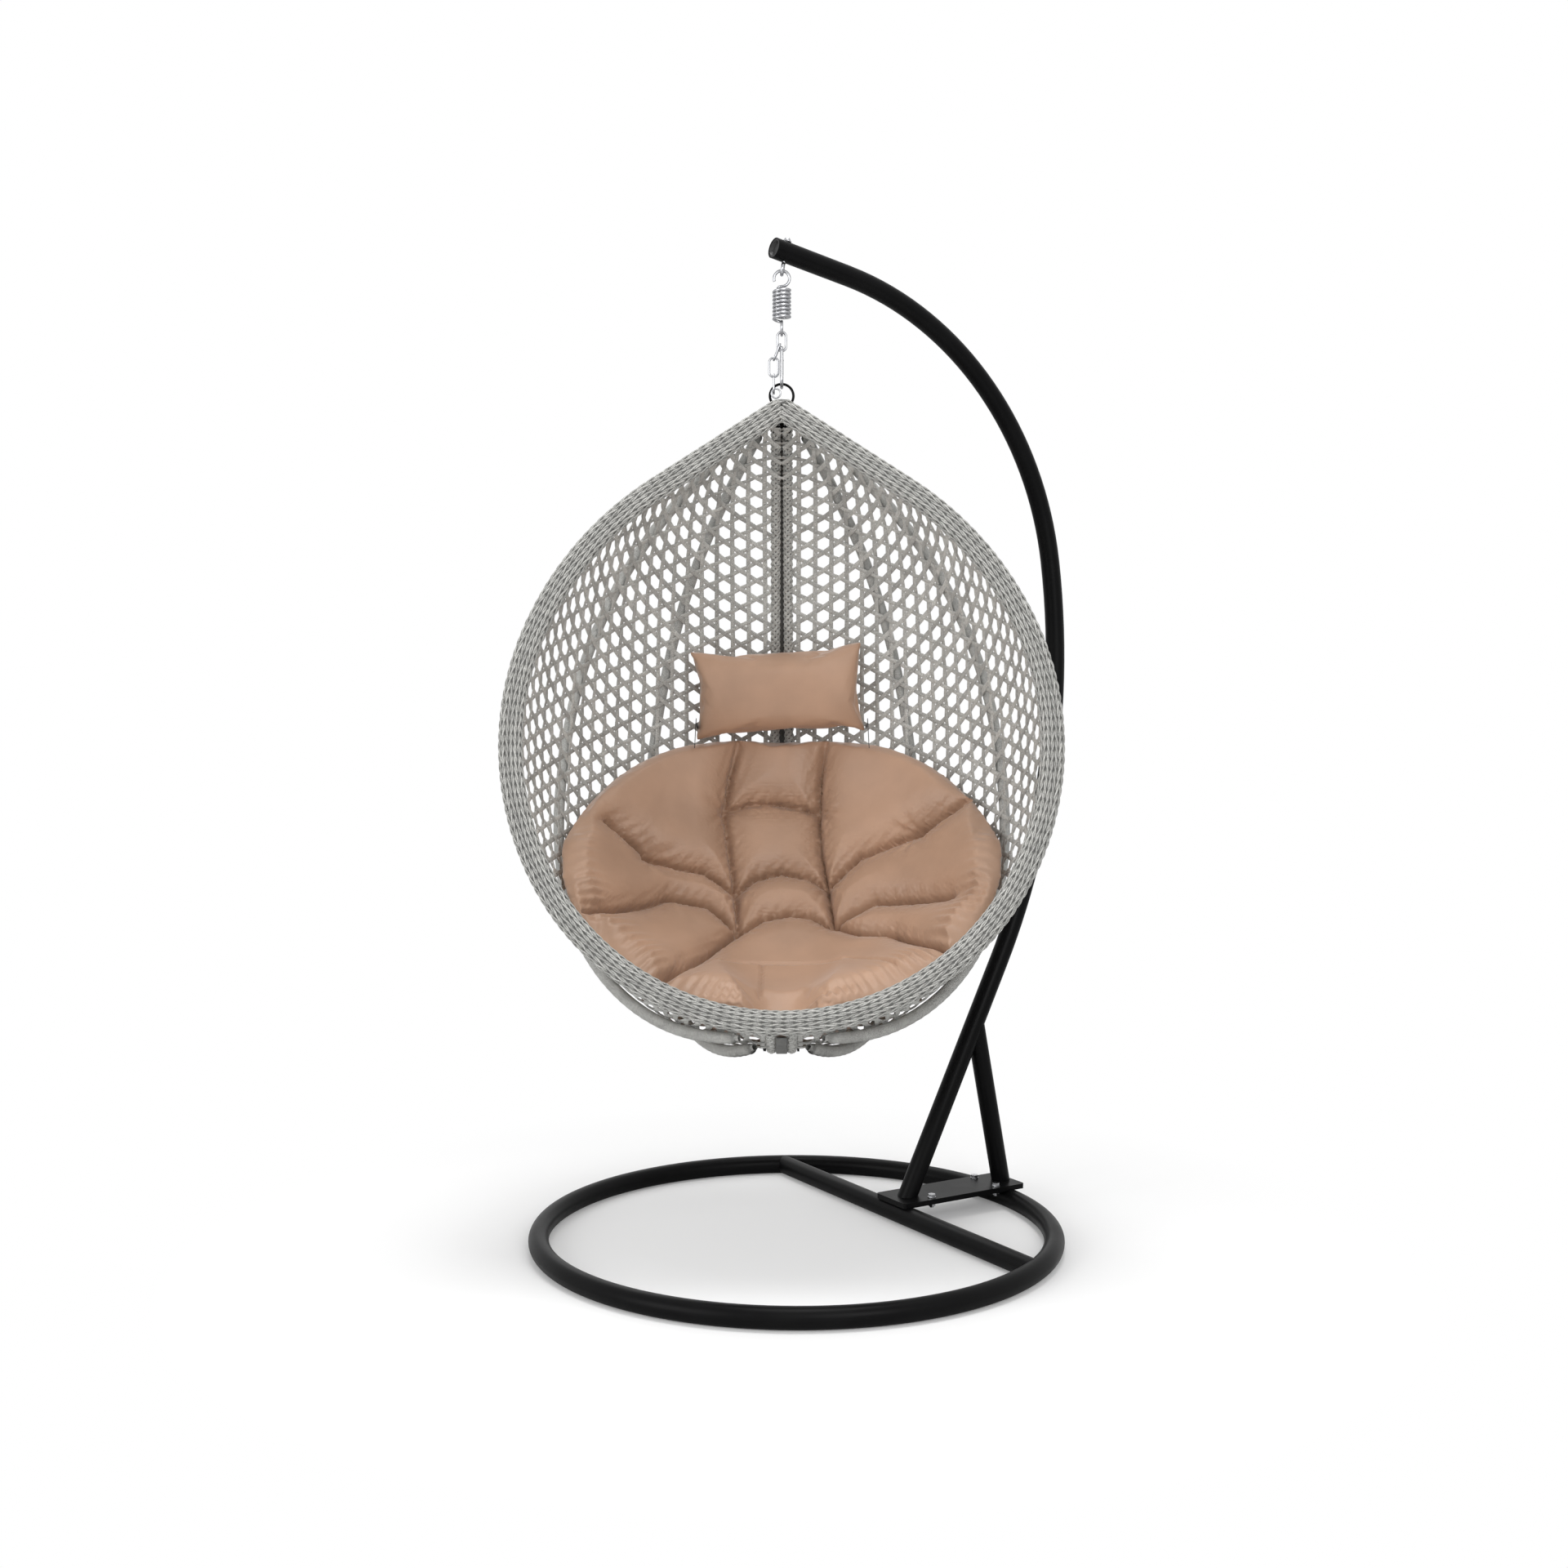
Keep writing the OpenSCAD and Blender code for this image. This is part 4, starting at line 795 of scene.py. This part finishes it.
class EGGCHAIR_OT_braids(bpy.types.Operator):
    """Braids flat strands round the two centre tubes"""

    bl_idname = "egg_chair.braids"
    bl_label = "Braid Centre Ropes"

    def execute(self, context):
        start, end = 0.062, BACK_LEN - 0.03
        s = np.arange(start, end, 0.0032)
        y, z, h = along(BACK_START, BACK_PIECES, s)
        outward = np.stack([0 * h, -np.sin(h), np.cos(h)], -1)
        sideways = np.array([1.0, 0, 0])
        shade_core = Strands()
        for side, flip in (("right", 1), ("left", -1)):
            x = CENTRE_X - z * math.tan(CENTRE_SPREAD)
            centre = np.stack([x * flip, y, z], -1)
            strands = Strands()
            ways, lay = 4, 0.05
            for hand in (1, -1):
                for k in range(ways):
                    turn = hand * 2 * math.pi * s / lay + 2 * math.pi * k / ways
                    weave = np.cos(2 * math.pi * s / lay * ways + math.pi * k) * hand
                    away = np.cos(turn)[:, None] * sideways + np.sin(turn)[:, None] * outward
                    line = centre + away * (0.0077 + 0.0013 * weave)[:, None]
                    strands.sweep(line, away, round_section(0.003, 8, 0.5), caps=False)
            # A dark rod inside each braid: painted shade in the gaps between its strands.
            shade_core.sweep(centre[::3], outward[::3], round_section(0.0066, 12), caps=False)
            name = f"{side}_centre_braid"
            strands.piece(name + "_strands", rope_finish(), replaces=(name,))
        # A dark strip on the middle line between the two braids: painted shade.
        middle = np.stack([0 * y, y, z], -1) + outward * 0.0095
        shade_core.sweep(middle[::3], outward[::3], strip_section(0.02, 0.0016), caps=False)
        shade_core.piece("centre_braid_painted_shade", painted_shade_core_finish())
        return {"FINISHED"}


# ---- Cushions ----
SEAT_BACK, SEAT_ARCH, SEAT_ARCH_POWER, SEAT_FRONT = 0.434, 0.222, 3.6, 0.955
SEAT_SIDE = math.radians(12)
SEAT_LOW = 0.018
# Sewn points of the seat cushion: share of the way down, and metres from the middle line
SEWN = {
    "upper left": (0.527, -0.130),
    "upper right": (0.527, 0.083),
    "middle left": (0.644, -0.108),
    "middle right": (0.635, 0.106),
    "wing left": (0.601, -0.306),
    "wing right": (0.567, 0.309),
    "lower left": (0.712, -0.100),
    "lower right": (0.702, 0.121),
    "pleat": (0.835, -0.235),
}
# Valleys that run between them, each through a few points
VALLEYS = (
    ("upper left", (0.48, -0.115), (0.44, -0.095)),
    ("upper right", (0.48, 0.088), (0.43, 0.097)),
    ("upper left", (0.585, -0.122), "middle left", "lower left"),
    ("upper right", (0.58, 0.09), "middle right", "lower right"),
    ("upper left", (0.515, -0.075), (0.513, -0.021), (0.518, 0.035), "upper right"),
    ("middle left", (0.622, -0.06), (0.612, -0.002), (0.62, 0.06), "middle right"),
    ("lower left", (0.69, -0.04), (0.681, 0.018), (0.686, 0.07), "lower right"),
    ("middle left", (0.614, -0.189), (0.61, -0.25), "wing left", (0.563, -0.375)),
    ("middle right", (0.593, 0.186), "wing right", (0.545, 0.37), (0.523, 0.408)),
    ("lower left", (0.67, -0.18), (0.663, -0.275), (0.706, -0.379)),
    ("lower left", (0.77, -0.17), "pleat", (0.9, -0.23)),
    ("lower right", (0.667, 0.228), (0.677, 0.368)),
    ("lower right", (0.728, 0.2), (0.735, 0.271), (0.78, 0.33)),
)

# Widths and depths of the sewing, in metres
VALLEY_WIDTH, VALLEY_DEPTH = 0.085, 0.046
CREASE_WIDTH, CREASE_DEPTH = 0.0065, 0.011
TUFT_WIDTH, TUFT_DEPTH = 0.02, 0.014
SEAM_WIDTH, SEAM_DEPTH = 0.0045, 0.006
GATHER_PITCH, GATHER_DEPTH = 0.024, 0.009
# Seams of the front strip
SEAMS = (
    ((0.835, -0.235), (0.83, -0.15), (0.824, -0.05), (0.826, 0.08), (0.833, 0.2), (0.83, 0.3)),
    ((0.826, -0.045), (0.94, -0.05)),
)


def closed_grid(top, bottom):
    """Vertices and faces of a closed skin between two grids of points."""
    n, m = top.shape[:2]
    k = n * m
    i, j = np.arange(n - 1)[:, None], np.arange(m - 1)[None]
    a = i * m + j
    upper = np.stack([a, a + 1, a + m + 1, a + m], -1).reshape(-1, 4)
    lower = np.stack([a + m, a + m + 1, a + 1, a], -1).reshape(-1, 4) + k
    i, j = np.arange(n - 1), np.arange(m - 1)
    first, last = i * m, i * m + m - 1
    head, foot = j, (n - 1) * m + j
    sides = [
        np.stack([first, first + m, first + m + k, first + k], -1),
        np.stack([last + m, last, last + k, last + m + k], -1),
        np.stack([head + 1, head, head + k, head + 1 + k], -1),
        np.stack([foot, foot + 1, foot + 1 + k, foot + k], -1),
    ]
    return np.vstack([top.reshape(-1, 3), bottom.reshape(-1, 3)]), np.vstack([upper, lower, *sides])


def crown(k, power=0.45):
    """Rises steeply from 0 at both ends to 1 in the middle."""
    return np.power(np.clip(np.sin(math.pi * k), 0, 1), power)


def apply_all(piece):
    """Turns the piece's modified shape into its mesh."""
    depsgraph = bpy.context.evaluated_depsgraph_get()
    mesh = bpy.data.meshes.new_from_object(piece.evaluated_get(depsgraph))
    piece.modifiers.clear()
    old, piece.data = piece.data, mesh
    bpy.data.meshes.remove(old)


def points_of(piece):
    """The piece's vertices as rows of x, y and z."""
    points = np.empty(len(piece.data.vertices) * 3, np.float32)
    piece.data.vertices.foreach_get("co", points)
    return points.reshape(-1, 3)


def plump(piece, voxel, cap, pressure=4.0, grow=0.0, held=None):
    """Fills a closed cushion like cloth with air in it, then rounds it off."""
    remesh = piece.modifiers.new("Even mesh", "REMESH")
    remesh.mode, remesh.voxel_size = "VOXEL", voxel
    apply_all(piece)
    before = points_of(piece)
    cloth = piece.modifiers.new("Filling", "CLOTH")
    settings = cloth.settings
    settings.quality = 5
    settings.mass = 0.25
    settings.tension_stiffness = settings.compression_stiffness = 12
    settings.shear_stiffness = 6
    settings.bending_stiffness = 0.35
    settings.use_pressure = True
    settings.uniform_pressure_force = pressure
    settings.effector_weights.gravity = 0
    settings.shrink_min = -grow
    cloth.collision_settings.use_collision = False
    if held is not None:
        group = piece.vertex_groups.new(name="Held")
        for index, weight in enumerate(held(before)):
            if weight > 0:
                group.add([index], float(weight), "REPLACE")
        settings.vertex_group_mass = "Held"
    scene = bpy.context.scene
    scene.frame_start, scene.frame_end = 1, 20
    cloth.point_cache.frame_start, cloth.point_cache.frame_end = 1, 20
    for number in range(1, 21):
        scene.frame_set(number)
    apply_all(piece)
    moved = points_of(piece) - before
    far = np.linalg.norm(moved, axis=1, keepdims=True)
    moved *= np.minimum(1, cap / np.maximum(far, 1e-9))
    piece.data.vertices.foreach_set("co", (before + moved).ravel())
    scene.frame_set(1)


def round_off(piece, levels=1, smooth=2):
    """Smooths and subdivides a cushion once its seams are in."""
    if smooth:
        ease = piece.modifiers.new("Ease", "SMOOTH")
        ease.factor, ease.iterations = 0.5, smooth
    round_mesh = piece.modifiers.new("Round", "SUBSURF")
    round_mesh.levels = round_mesh.render_levels = levels
    apply_all(piece)
    piece.data.polygons.foreach_set("use_smooth", np.ones(len(piece.data.polygons), bool))
    piece.data.materials.clear()
    piece.data.materials.append(cloth_finish())


def seat_surface(u, v, height):
    """Points of the seat cushion's grid at a height above the weave, and their t and x."""
    side = SEAT_SIDE + math.radians(11) * np.clip(1 - u / 0.2, 0, 1) ** 2
    angle = side + (math.pi - 2 * side) * v
    first = SEAT_BACK + SEAT_ARCH * abs(np.cos(angle)) ** SEAT_ARCH_POWER
    t = first + (SEAT_FRONT - first) * u
    return off_bowl(t, angle, -height), t, bowl(t, angle)[..., 0]


def lengths(rows):
    """Sewn points, named or given, as rows of (metres down, metres across)."""
    rows = [SEWN[p] if isinstance(p, str) else p for p in rows]
    return np.array([(t * BACK_LEN, x) for t, x in rows])


def distance_to(lines, down, across):
    """How far each point is from the nearest line."""
    least = np.full(down.shape, 9.0)
    spot = np.stack([down, across], -1)
    for line in lines:
        for a, b in zip(line[:-1], line[1:]):
            share = np.clip(((spot - a) @ (b - a)) / ((b - a) @ (b - a)), 0, 1)
            least = np.minimum(least, np.linalg.norm(spot - a - share[..., None] * (b - a), axis=-1))
    return least


def tucks(down, across, edge):
    """How deep the sewing pulls each point in: creases between puffs, puckers and a gathered edge."""
    away = np.clip(distance_to([lengths(row) for row in VALLEYS], down, across) / VALLEY_WIDTH, 0, 1)
    depth = VALLEY_DEPTH * (1 - np.sqrt(np.clip(1 - (1 - away) ** 2, 0, 1)))
    for k, (row, column) in enumerate(SEWN.values()):
        far = np.hypot(down - row * BACK_LEN, across - column)
        turn = np.arctan2(down - row * BACK_LEN, across - column)
        pucker = 0.5 + 0.5 * np.cos(turn * 7 + 1.3 * k + np.sin(3 * turn))
        depth += TUFT_DEPTH * np.exp(-((far / TUFT_WIDTH) ** 2))
        depth += 0.0045 * pucker * np.exp(-(((far - 0.03) / 0.026) ** 2))
    off_line = away * VALLEY_WIDTH
    depth += CREASE_DEPTH * np.exp(-((off_line / CREASE_WIDTH) ** 2))
    crinkle = 0.5 + 0.5 * np.sin(2 * math.pi * (0.7 * down + across) / 0.027 + 3 * np.sin(19 * down))
    depth += 0.0022 * crinkle * np.exp(-(((off_line - 0.018) / 0.014) ** 2))
    seam = distance_to([lengths(row) for row in SEAMS], down, across)
    depth += SEAM_DEPTH * np.exp(-((seam / SEAM_WIDTH) ** 2))
    ripple = 0.5 + 0.5 * np.sin(2 * math.pi * down / GATHER_PITCH + 2 * np.sin(down * 31))
    return depth + GATHER_DEPTH * ripple * np.exp(-((edge / 0.05) ** 2))


def seat_thickness(u, v, most):
    """The cushion's thickness before its sewing, from its edge to its middle."""
    full = most * (1 - 0.45 * (1 - smooth_step(u / 0.7)))
    return 0.022 + (full - 0.022) * np.minimum(crown(u, 0.46), crown(v, 0.5))


class EGGCHAIR_OT_seat_cushion(bpy.types.Operator):
    """Fills and tufts the seat cushion"""

    bl_idname = "egg_chair.seat_cushion"
    bl_label = "Make Seat Cushion"

    def execute(self, context):
        u, v = np.meshgrid(np.linspace(0, 1, 130), np.linspace(0, 1, 200), indexing="ij")
        bottom, t, x = seat_surface(u, v, SEAT_LOW + 0 * u)
        top = seat_surface(u, v, SEAT_LOW + seat_thickness(u, v, sizes().cushion_thickness))[0]
        verts, faces = closed_grid(bottom, top)
        piece = new_piece(
            "seat_cushion_cover", verts + PEAK, faces, cloth_finish(), replaces=("seat_cushion",)
        )
        under = (bottom + PEAK).reshape(-1, 3)

        def held(points):
            return np.where(nearest(points, under)[0] < 0.007, 1.0, 0.0)

        plump(piece, 0.0068, 0.018, pressure=3.0, grow=0.012, held=held)
        round_off(piece, 1, 1)
        edge = np.minimum(v, 1 - v)
        self.sew(piece, (top + PEAK).reshape(-1, 3), under, t.ravel() * BACK_LEN, x.ravel(), edge.ravel())
        return {"FINISHED"}

    def sew(self, piece, top, under, down, across, edge):
        """Pulls the filled cushion in along its sewn lines."""
        verts = points_of(piece)
        far, near = nearest(verts, top, 4)
        share = 1 / (far + 0.001) ** 2
        share /= share.sum(axis=1, keepdims=True)
        down, across, edge = ((data[near] * share).sum(axis=1) for data in (down, across, edge))
        inward = unit(((under - top)[near] * share[..., None]).sum(axis=1))
        height = nearest(verts, under)[0]
        depth = tucks(down, across, edge) * smooth_step(height / 0.06)
        verts += inward * np.minimum(depth, 0.8 * height)[:, None]
        piece.data.vertices.foreach_set("co", verts.ravel())


def nearest(points, others, count=1):
    """Distances from each point to the nearest of the others, and which they are."""
    tree = KDTree(len(others))
    for i, spot in enumerate(others):
        tree.insert(spot, i)
    tree.balance()
    if count == 1:
        found = [tree.find(spot)[1:] for spot in points]
        return np.array([f[1] for f in found]), np.array([f[0] for f in found])
    found = [tree.find_n(spot, count) for spot in points]
    return np.array([[f[2] for f in row] for row in found]), np.array([[f[1] for f in row] for row in found])


class EGGCHAIR_OT_pillow(bpy.types.Operator):
    """Fills the head pillow and rounds it off"""

    bl_idname = "egg_chair.pillow"
    bl_label = "Make Head Pillow"

    def execute(self, context):
        low, high = (np.array(corner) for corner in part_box("head_pillow"))
        middle = (low + high) / 2
        width, height = sizes().pillow_size
        u, v = np.meshgrid(np.linspace(-1, 1, 40), np.linspace(-1, 1, 70), indexing="ij")
        draw_in_x = 1 - 0.05 * (1 - u**2)
        draw_in_z = 1 - 0.07 * (1 - v**2)
        x, z = v * width / 2 * draw_in_x, u * height / 2 * draw_in_z
        fill = np.power(np.clip((1 - u**2) * (1 - v**2), 0, 1), 0.42)
        front = np.stack([x, -0.004 - 0.05 * fill, z], -1)
        back = np.stack([x, 0.004 + 0.02 * fill, z], -1)
        verts, faces = closed_grid(back, front)
        verts = np.array(verts)
        verts[:, 1] += -verts[:, 0] ** 2 / 1.2 - verts[:, 2] * 0.12
        tilt = math.radians(3.2)
        turned = verts[:, 0] * math.cos(tilt) - verts[:, 2] * math.sin(tilt)
        verts[:, 2] = verts[:, 0] * math.sin(tilt) + verts[:, 2] * math.cos(tilt)
        verts[:, 0] = turned
        place = middle + np.array([-0.007, 0.012, 0])
        piece = new_piece(
            "head_pillow_cover", verts + place, faces, cloth_finish(), replaces=("head_pillow",)
        )
        plump(piece, 0.0048, 0.016, pressure=3.0, grow=0.05)
        round_off(piece, 1, 2)
        return {"FINISHED"}


class EGGCHAIR_OT_ties(bpy.types.Operator):
    """Ties the head pillow to the weave with flat tape"""

    bl_idname = "egg_chair.ties"
    bl_label = "Tie Pillow"

    def execute(self, context):
        low, high = (np.array(corner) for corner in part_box("pillow_ties"))
        k = np.linspace(0, 1, 30)
        middle = (low[2] + high[2]) / 2
        tapes, tape = Strands(), strip_section(0.008, 0.0012)
        for x, hand in ((low[0] + 0.001, -1.0), (high[0] - 0.001, 1.0)):
            out = np.tile([hand, 0, 0], (len(k), 1))
            back = low[1] + (high[1] - low[1]) * k
            strap = np.stack([x + 0 * k, back, middle - 0.005 * np.sin(math.pi * k)], -1)
            tapes.sweep(strap, out, tape)
            turn = math.pi / 2 * np.minimum(1, 3 * k)
            front = low[1] + 0.003 + 0.006 * (1 - np.sin(turn))
            tail = np.stack([x + hand * (0.0016 + 0.003 * k), front, middle + 0.012 - 0.058 * k], -1)
            tapes.sweep(tail, out, tape)
        piece = tapes.piece("pillow_tie_tapes", tape_finish(), at=np.zeros(3), replaces=("pillow_ties",))
        return {"FINISHED"}


# ---- Suspension ----
class EGGCHAIR_OT_spring(bpy.types.Operator):
    """Winds the spring's coil so that it stretches between its two loops"""

    bl_idname = "egg_chair.spring"
    bl_label = "Wind Spring"

    def execute(self, context):
        low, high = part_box("spring_coil")
        wire, radius, lead = 0.0055, 0.015, 0.0052
        foot, head = low[2] + wire / 2 + lead, high[2] - wire / 2 - lead
        turns = 7.75
        a = np.linspace(math.pi, math.pi + 2 * math.pi * turns, 420)
        coil = np.stack([radius * np.cos(a), radius * np.sin(a), np.linspace(foot, head, len(a))], -1)
        k = np.linspace(0, 1, 24)[:, None]

        def lead_wire(angle, inward):
            b = angle + (0 if inward else math.pi) + math.pi * k
            flat = radius / 2 * np.hstack([np.cos(angle) + np.cos(b), np.sin(angle) + np.sin(b)])
            return flat

        first = np.hstack([lead_wire(a[0], False), foot - lead + lead * smooth_step(k)])
        last = np.hstack([lead_wire(a[-1], True), head + lead * smooth_step(k)])
        points = np.vstack([first[:-1], coil, last[1:]])
        strands = Strands()
        strands.sweep(points, np.tile([0.0, 0, 1], (len(points), 1)), round_section(wire / 2, 14))
        piece = strands.piece("spring_coil_wire", zinc_finish(), at=np.array([HANG_X, HANG_Y, 0]), body=None)
        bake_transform(piece)
        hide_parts("spring_coil")
        return {"FINISHED"}


class EGGCHAIR_OT_steel(bpy.types.Operator):
    """Finishes the steel and plastic pieces"""

    bl_idname = "egg_chair.steel"
    bl_label = "Finish Steel"

    def execute(self, context):
        kinds = {"black_steel": steel_finish, "zinc_steel": zinc_finish, "black_plastic": plastic_finish}
        for part in frame["record"]["subparts"]:
            make = kinds.get(part["material_slot"])
            if make:
                data = frame["nodes"][part["node"]].data
                data.materials.clear()
                data.materials.append(make())
        return {"FINISHED"}


# ---- Stage ----
# Name, place, size and watts of each lamp
LAMPS = (
    ("Top", (0.2, -0.2, 4.3), 1.5, 72),
    ("Front", (1.3, -3.3, 2.2), 1.8, 50),
    ("Side", (-3.1, -2.6, 1.5), 2.4, 66),
    ("Back", (-0.8, 3.2, 3.0), 2.2, 24),
)
AMBIENT, FLOOR_GLOW = 0.5, 0.15


class EGGCHAIR_OT_stage(bpy.types.Operator):
    """Sets the floor, the soft light and the camera"""

    bl_idname = "egg_chair.stage"
    bl_label = "Set Stage"

    def execute(self, context):
        scene = context.scene
        scene.view_settings.view_transform = "Standard"
        self.world(scene)
        self.floor()
        for lamp in LAMPS:
            self.lamp(*lamp)
        camera = bpy.data.objects.new("Camera", bpy.data.cameras.new("Camera"))
        scene.collection.objects.link(camera)
        camera.location = (-0.0231, -3.2615, 0.9942)
        camera.rotation_euler = (math.radians(87.65), 0, 0)
        camera.data.lens, camera.data.sensor_width = 40.16, 36
        scene.camera = camera
        return {"FINISHED"}

    def world(self, scene):
        world = bpy.data.worlds.new("Studio")
        scene.world = world
        world.use_nodes = True
        tree = world.node_tree
        light = tree.nodes["Background"]
        light.inputs["Color"].default_value = (1, 1, 1, 1)
        ray = tree.nodes.new("ShaderNodeLightPath").outputs
        seen = calculate(tree, "MAXIMUM", ray["Is Camera Ray"], ray["Is Transmission Ray"])
        mirrored_white = calculate(tree, "MULTIPLY", ray["Is Glossy Ray"], 0.9)
        level = remap(tree, calculate(tree, "MAXIMUM", seen, mirrored_white), 0.0, 1.0, AMBIENT, 1.0)
        tree.links.new(level, light.inputs["Strength"])

    def floor(self):
        half = 9.0
        corners = [(-half, -half, 0), (half, -half, 0), (half, half, 0), (-half, half, 0)]
        material = bpy.data.materials.new("Pale floor")
        material.use_nodes = True
        tree = material.node_tree
        shader = tree.nodes["Principled BSDF"]
        shader.inputs["Base Color"].default_value = (0.78, 0.78, 0.78, 1)
        shader.inputs["Roughness"].default_value = 0.9
        shader.inputs["Specular IOR Level"].default_value = 0.1
        white = tree.nodes.new("ShaderNodeEmission")
        white.inputs["Color"].default_value = (1, 1, 1, 1)
        place = tree.nodes.new("ShaderNodeTexCoord")
        far = tree.nodes.new("ShaderNodeVectorMath")
        far.operation = "LENGTH"
        tree.links.new(place.outputs["Object"], far.inputs[0])
        fade = remap(tree, far.outputs["Value"], 0.62, 1.15, 0.0, 1.0)
        path = tree.nodes.new("ShaderNodeLightPath")
        seen = path.outputs["Is Camera Ray"]
        glow = tree.nodes.new("ShaderNodeEmission")
        tree.links.new(calculate(tree, "MULTIPLY", seen, FLOOR_GLOW), glow.inputs["Strength"])
        lit = tree.nodes.new("ShaderNodeAddShader")
        tree.links.new(shader.outputs["BSDF"], lit.inputs[0])
        tree.links.new(glow.outputs["Emission"], lit.inputs[1])
        mix = tree.nodes.new("ShaderNodeMixShader")
        tree.links.new(calculate(tree, "MULTIPLY", fade, seen), mix.inputs["Fac"])
        tree.links.new(lit.outputs["Shader"], mix.inputs[1])
        tree.links.new(white.outputs["Emission"], mix.inputs[2])
        tree.links.new(mix.outputs["Shader"], tree.nodes["Material Output"].inputs["Surface"])
        floor = new_piece("Floor", corners, [[0, 1, 2, 3]], material, body=None, smooth=False)

    def lamp(self, name, place, size, power):
        data = bpy.data.lights.new(name, "AREA")
        data.shape, data.size, data.energy = "SQUARE", size, power
        lamp = bpy.data.objects.new(name, data)
        bpy.context.scene.collection.objects.link(lamp)
        lamp.location = place
        aim = Vector((0, 0, 0.9)) - Vector(place)
        lamp.rotation_euler = aim.to_track_quat("-Z", "Y").to_euler()


class EGGCHAIR_PT_panel(bpy.types.Panel):
    """Lists the chair's settings and steps"""

    bl_idname = "EGGCHAIR_PT_panel"
    bl_label = "Hanging Egg Chair"
    bl_space_type = "VIEW_3D"
    bl_region_type = "UI"
    bl_category = "Egg Chair"

    def draw(self, context):
        layout = self.layout
        for settings in (context.scene.egg_chair_colours, context.scene.egg_chair_sizes):
            box = layout.box()
            for name in settings.__annotations__:
                box.prop(settings, name)
        for operator in OPERATORS:
            layout.operator(operator.bl_idname)


OPERATORS = (
    EGGCHAIR_OT_stage,
    EGGCHAIR_OT_steel,
    EGGCHAIR_OT_spring,
    EGGCHAIR_OT_weave,
    EGGCHAIR_OT_ribs,
    EGGCHAIR_OT_rim,
    EGGCHAIR_OT_braids,
    EGGCHAIR_OT_seat_cushion,
    EGGCHAIR_OT_pillow,
    EGGCHAIR_OT_ties,
)
CLASSES = (EggChairColours, EggChairSizes, *OPERATORS, EGGCHAIR_PT_panel)


def register():
    for cls in CLASSES:
        bpy.utils.register_class(cls)
    bpy.types.Scene.egg_chair_colours = bpy.props.PointerProperty(type=EggChairColours)
    bpy.types.Scene.egg_chair_sizes = bpy.props.PointerProperty(type=EggChairSizes)


def unregister():
    del bpy.types.Scene.egg_chair_sizes
    del bpy.types.Scene.egg_chair_colours
    for cls in reversed(CLASSES):
        bpy.utils.unregister_class(cls)


def main():
    register()
    bpy.ops.egg_chair.stage()
    bpy.ops.egg_chair.steel()
    bpy.ops.egg_chair.spring()
    bpy.ops.egg_chair.weave()
    bpy.ops.egg_chair.ribs()
    bpy.ops.egg_chair.rim()
    bpy.ops.egg_chair.braids()
    bpy.ops.egg_chair.seat_cushion()
    bpy.ops.egg_chair.pillow()
    bpy.ops.egg_chair.ties()


if __name__ == "__main__":
    main()
